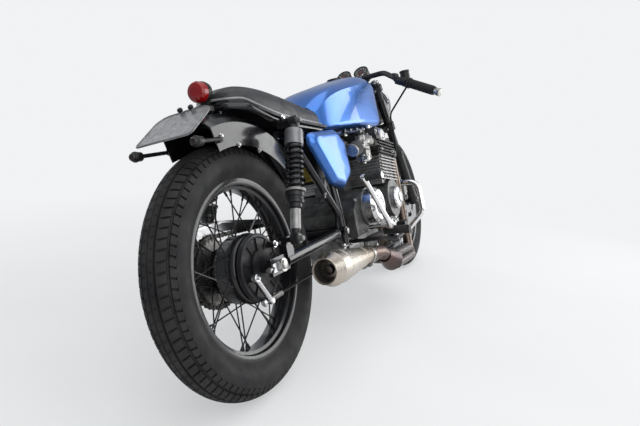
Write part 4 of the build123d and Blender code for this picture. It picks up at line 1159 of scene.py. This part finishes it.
def headlight_parts():
    # rim with its ear bolts, and the domed lens
    centre = st_mm(118, 0, 838)
    back = centre - AHEAD * 0.040
    b = Build()
    b.lathe([(0.098, 0.0905), (0.100, 0.0925), (0.112, 0.0925), (0.119, 0.0880), (0.122, 0.0830),
             (0.119, 0.0815)], back, back + AHEAD, 72)
    for side in (-1, 1):
        b.hexbolt(centre + AHEAD * 0.020 + LEFT * side * 0.097, LEFT * side, 0.0062, 0.008)
    b.out("headlight_rim", "chrome", "steering")
    b = Build()
    b.lathe([(0.1195, 0.0825), (0.1215, 0.0800), (0.1262, 0.0600), (0.1293, 0.0320), (0.1302, 0.0100),
             (0.1303, 0.001)], back, back + AHEAD, 72)
    b.out("headlight_lens", "lamp_glass", "steering", sharp=60)


def bar_parts():
    # ribbed grips, bar ends, lever pivots, switch boxes and the reservoir's cap
    outer = mm(934, -388, 768)
    d = (outer - mm(1000, -243, 852)).normalized()
    rubber, metal, black = Build(), Build(), Build()
    for side in (-1, 1):
        flip = Vector((1, -side, 1))
        p, dd = outer * flip, (d * flip).normalized()

        def along(s):
            return p - dd * s

        prof = [(0.002, 0.0172)]
        for i in range(16):
            a = 0.006 + i * 0.0073
            prof += [(a, 0.0172), (a + 0.0008, 0.0184), (a + 0.0042, 0.0184), (a + 0.005, 0.0172)]
        prof += [(0.1245, 0.0172)]
        start = along(0.128)
        rubber.lathe(prof, start, start + dd, 28)
        rubber.lathe([(-0.003, 0.0205), (-0.0015, 0.0216), (0.0025, 0.0216), (0.004, 0.0200)], start,
                      start + dd, 32)
        metal.lathe([(0.0, 0.0124), (0.002, 0.0130), (0.018, 0.0148), (0.0225, 0.0152), (0.0260, 0.0138),
                     (0.0265, 0.006)], along(-0.0005), along(-1), 32)
        # switch box, perch clamp and the lever's pivot
        c0 = along(0.152)
        axes = (dd, UP.cross(dd), UP)
        black.lathe([(-0.016, 0.0160), (-0.014, 0.0188), (0.011, 0.0188), (0.013, 0.0165)], c0, c0 + dd, 28)
        black.box(c0 + mm(14, 0, -9), (0.026, 0.030, 0.022), axes)
        black.box(c0 - dd * 0.034 + mm(8, 0, -4), (0.030, 0.032, 0.030), axes)
        black.box(c0 - dd * 0.052 + mm(12, 0, 6), (0.018, 0.022, 0.034), axes)
        metal.lathe([(0.0, 0.0062), (0.003, 0.0062), (0.005, 0.005)], c0 + mm(34, 6 * side, 1),
                     c0 + mm(34, 6 * side, 60), 6)
        for k in (-1, 1):
            metal.hexbolt(c0 + dd * 0.008 * k + mm(17, 0, 10), UP, 0.0026, 0.004)
        # ball end of the lever
        e = p + mm(40, 10 * side, -8)
        black.lathe([(-0.0075, 0.001), (-0.006, 0.0045), (0, 0.0075), (0.006, 0.0045), (0.0075, 0.001)], e,
                     e + dd, 16)
    c0 = outer - d * 0.152
    r = mm(18, 0, 39) + c0
    black.lathe([(0.0, 0.0192), (0.001, 0.0205), (0.006, 0.0205), (0.0075, 0.0190), (0.0078, 0.008)], r,
                 r + UP, 36)
    for k in (-1, 1):
        metal.hexbolt(r + mm(12 * k, 0, 7), UP, 0.0020, 0.003)
    rubber.out("grip_ribs", "rubber_black", "steering", sharp=40)
    metal.out("bar_fittings", "plated", "steering")
    black.out("switch_boxes", "plastic_black", "steering", bevel=0.0012)


def frame_fittings():
    # brake light switch, battery end, and the flat steel hanger over the muffler
    b = Build()
    b.lathe([(0.0, 0.0035), (0.010, 0.0035), (0.011, 0.0062), (0.058, 0.0062), (0.060, 0.0075),
             (0.068, 0.0075), (0.070, 0.004)], mm(366, -108, 461), mm(396, -108, 530), 20)
    b.box(mm(374, -104, 482), (0.020, 0.010, 0.003), (Vector((0.6, 0, -0.8)), LEFT, Vector((0.8, 0, 0.6))))
    b.out("brake_switch", "shroud_grey")
    b = Build()
    b.box(mm(388, -38, 556), (0.010, 0.062, 0.070))
    for z in (530, 556, 582):
        b.box(mm(382.5, -38, z), (0.004, 0.058, 0.004))
    b.out("battery_end", "battery_olive", bevel=0.0012)
    b = Build()
    line = [mm(352, -142, 301), mm(386, -138, 300), mm(420, -128, 298), mm(446, -119, 290),
            mm(472, -114, 284)]
    corners = ((1, 1), (-1, 1), (-1, -1), (1, -1))
    prof = []
    for k, p in enumerate(line):
        t = (line[min(k + 1, len(line) - 1)] - line[max(k - 1, 0)]).normalized()
        w = t.cross(UP).normalized()
        n = w.cross(t)
        prof.append([p + w * 0.011 * i + n * 0.002 * j for i, j in corners])
    b.add(*skin(prof))
    b.hexbolt(mm(366, -141, 302), UP, 0.0055, 0.007)
    b.rod(mm(366, -141, 290), mm(366, -141, 300), 0.006, 12)
    b.out("muffler_hanger", "polished", bevel=0.0005)


# the chain's middle plane and pitch, and (x, z, pitch radius) of both sprockets, in mm
CHAIN_Y, CHAIN_PITCH = 84, 15.9
REAR_SPROCKET, FRONT_SPROCKET = (0, 333, 95.5), (512, 355, 47)


def chain_pins():
    # pin places along the loop round both sprockets
    rear, front = REAR_SPROCKET, FRONT_SPROCKET
    dx, dz = front[0] - rear[0], front[1] - rear[1]
    apart, base = math.hypot(dx, dz), math.atan2(dz, dx)
    k = math.acos((rear[2] - front[2]) / apart)
    run = apart * math.sin(k)
    arc_r, arc_f = rear[2] * (2 * math.pi - 2 * k), front[2] * 2 * k
    total = arc_r + arc_f + 2 * run
    count = 2 * round(total / CHAIN_PITCH / 2)
    pins = []
    for i in range(count):
        u = total * i / count
        if u < arc_r:
            a = base + k + u / rear[2]
            c, r, slide = rear, rear[2], 0
        elif u < arc_r + run:
            a = base - k
            c, r, slide = rear, rear[2], u - arc_r
        elif u < arc_r + run + arc_f:
            a = base - k + (u - arc_r - run) / front[2]
            c, r, slide = front, front[2], 0
        else:
            a = base + k
            c, r, slide = front, front[2], u - arc_r - run - arc_f
        pins.append((c[0] + r * math.cos(a) - slide * math.sin(a),
                    c[1] + r * math.sin(a) + slide * math.cos(a)))
    return pins


def drive_chain():
    # rollers on pins between waisted side plates, inner and outer links by turns
    pins = chain_pins()
    b = Build()
    for i, (x, z) in enumerate(pins):
        b.rod(mm(x, CHAIN_Y - 5.2, z), mm(x, CHAIN_Y + 5.2, z), 0.0050, 12)
        b.rod(mm(x, CHAIN_Y - 9.8, z), mm(x, CHAIN_Y + 9.8, z), 0.0024, 10)
        x2, z2 = pins[(i + 1) % len(pins)]
        d = Vector((x2 - x, 0, z2 - z))
        half, up = d / 2, Vector((-d.z, 0, d.x)).normalized()
        along = d.normalized()
        loop = []
        for end in (1, -1):
            for j in range(7):
                a = math.radians(-75 + 25 * j) * end
                loop.append(half * end + (along * math.cos(a) * end + up * math.sin(a)) * 6.9)
            loop.append(up * end * 4.6)
        mid = Vector((x, 0, z)) + half
        for side in (-1, 1):
            y = CHAIN_Y + side * (8.1 if i % 2 else 6.3)
            rings = [[mm(mid.x + p.x, y + t, mid.z + p.z) for p in loop] for t in (-0.75, 0.75)]
            b.add(*skin(rings))
    ob = b.out("chain_links", "chain_steel", sharp=30)
    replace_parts(ob, "drive_chain")


def front_brake_parts():
    # disc bolts on the wheel; caliper bolts and piston cap on the fork
    hub = Vector((WHEELBASE, -0.055, FRONT_R))
    b = Build()
    for i in range(6):
        b.hexbolt(hub + spoke(i * 60 + 15) * 0.044, RIGHT, 0.0050, 0.006)
    b.out("disc_bolts", "plated", "front_wheel")
    b = Build()
    axle_s = (TRAIL * SR + FRONT_R * CR)
    ca = st(FORK_N - 0.062, 0, axle_s + 0.092)
    for z in (-30, 30):
        b.hexbolt(Vector((ca.x + 0.004, -0.0875, ca.z + z / 1000)), RIGHT, 0.0058, 0.007)
    b.lathe([(0.0, 0.0240), (0.003, 0.0240), (0.005, 0.0215), (0.005, 0.012)], Vector((ca.x, -0.0875, ca.z)),
             Vector((ca.x, -1, ca.z)), 32)
    b.out("caliper_bolts", "plated", "steering")


side_covers()
tail_parts()
muffler_parts()
frame_bolts()
frame_fittings()
drive_chain()
fork_parts()
dial_parts()
headlight_parts()
bar_parts()
front_brake_parts()


# Floor, lights and background
BACKDROP = (0.88, 0.89, 0.90, 1)
# name, place, size, watts
LAMPS = (("sky_panel", (-0.3, -0.5, 3.2), 3.2, 46), ("side_panel", (-2.0, -2.7, 1.9), 3.0, 58),
         ("street_panel", (2.5, -2.3, 1.25), 2.3, 62), ("door_panel", (0.2, 2.8, 1.4), 2.6, 18))
LAMPS_AIM = Vector((0, 0, 0.4))
FLOOR_HALF, FLOOR_Z = 14, -0.0005


def make_floor():
    m, nt, b, co = new_mat("floor_pale")
    pale = ramp(nt, noise(nt, co, 1.4, 5), [(0.3, (0.74, 0.735, 0.725)), (0.7, (0.79, 0.785, 0.78))])
    nt.links.new(pale, b.inputs["Base Color"])
    put(b, {"Roughness": 0.85, "Specular IOR Level": 0.2})
    # for the camera alone, part of the floor's paleness is its own, all of it well away from the part
    glow = nt.nodes.new("ShaderNodeEmission")
    glow.inputs["Color"].default_value = BACKDROP
    far = nt.nodes.new("ShaderNodeVectorMath")
    far.operation = "LENGTH"
    nt.links.new(co, far.inputs[0])
    share = nt.nodes.new("ShaderNodeMath")
    share.operation = "MULTIPLY"
    nt.links.new(camera_ray(nt), share.inputs[0])
    nt.links.new(spread(nt, far.outputs["Value"], 0.45, 1.0, 1.0, 2.6), share.inputs[1])
    mix_shaders(nt, share.outputs["Value"], b.outputs["BSDF"], glow.outputs["Emission"], "Material Output")
    me = bpy.data.meshes.new("floor")
    h = FLOOR_HALF
    me.from_pydata([(-h, -h, 0), (h, -h, 0), (h, h, 0), (-h, h, 0)], [], [(0, 1, 2, 3)])
    me.materials.append(m)
    floor = new_object("floor", me)
    floor.location = (0, 0, FLOOR_Z)


def make_world():
    # a soft sky for the part, and a plain pale backdrop for the camera
    world = bpy.data.worlds.new("world")
    bpy.context.scene.world = world
    world.use_nodes = True
    wt = world.node_tree
    sky = wt.nodes["Background"]
    put(sky, {"Color": (0.86, 0.90, 0.96, 1), "Strength": 0.50})
    plain = wt.nodes.new("ShaderNodeBackground")
    put(plain, {"Color": BACKDROP, "Strength": 1.0})
    mix_shaders(wt, camera_ray(wt), sky.outputs["Background"], plain.outputs["Background"], "World Output")


def make_lamps():
    for name, at, size, power in LAMPS:
        light = bpy.data.lights.new(name, "AREA")
        light.shape, light.size, light.energy = "SQUARE", size, power
        lamp = new_object(name, light)
        lamp.location = at
        lamp.rotation_mode = "QUATERNION"
        lamp.rotation_quaternion = (LAMPS_AIM - Vector(at)).to_track_quat("-Z", "Y")


make_floor()
make_world()
make_lamps()
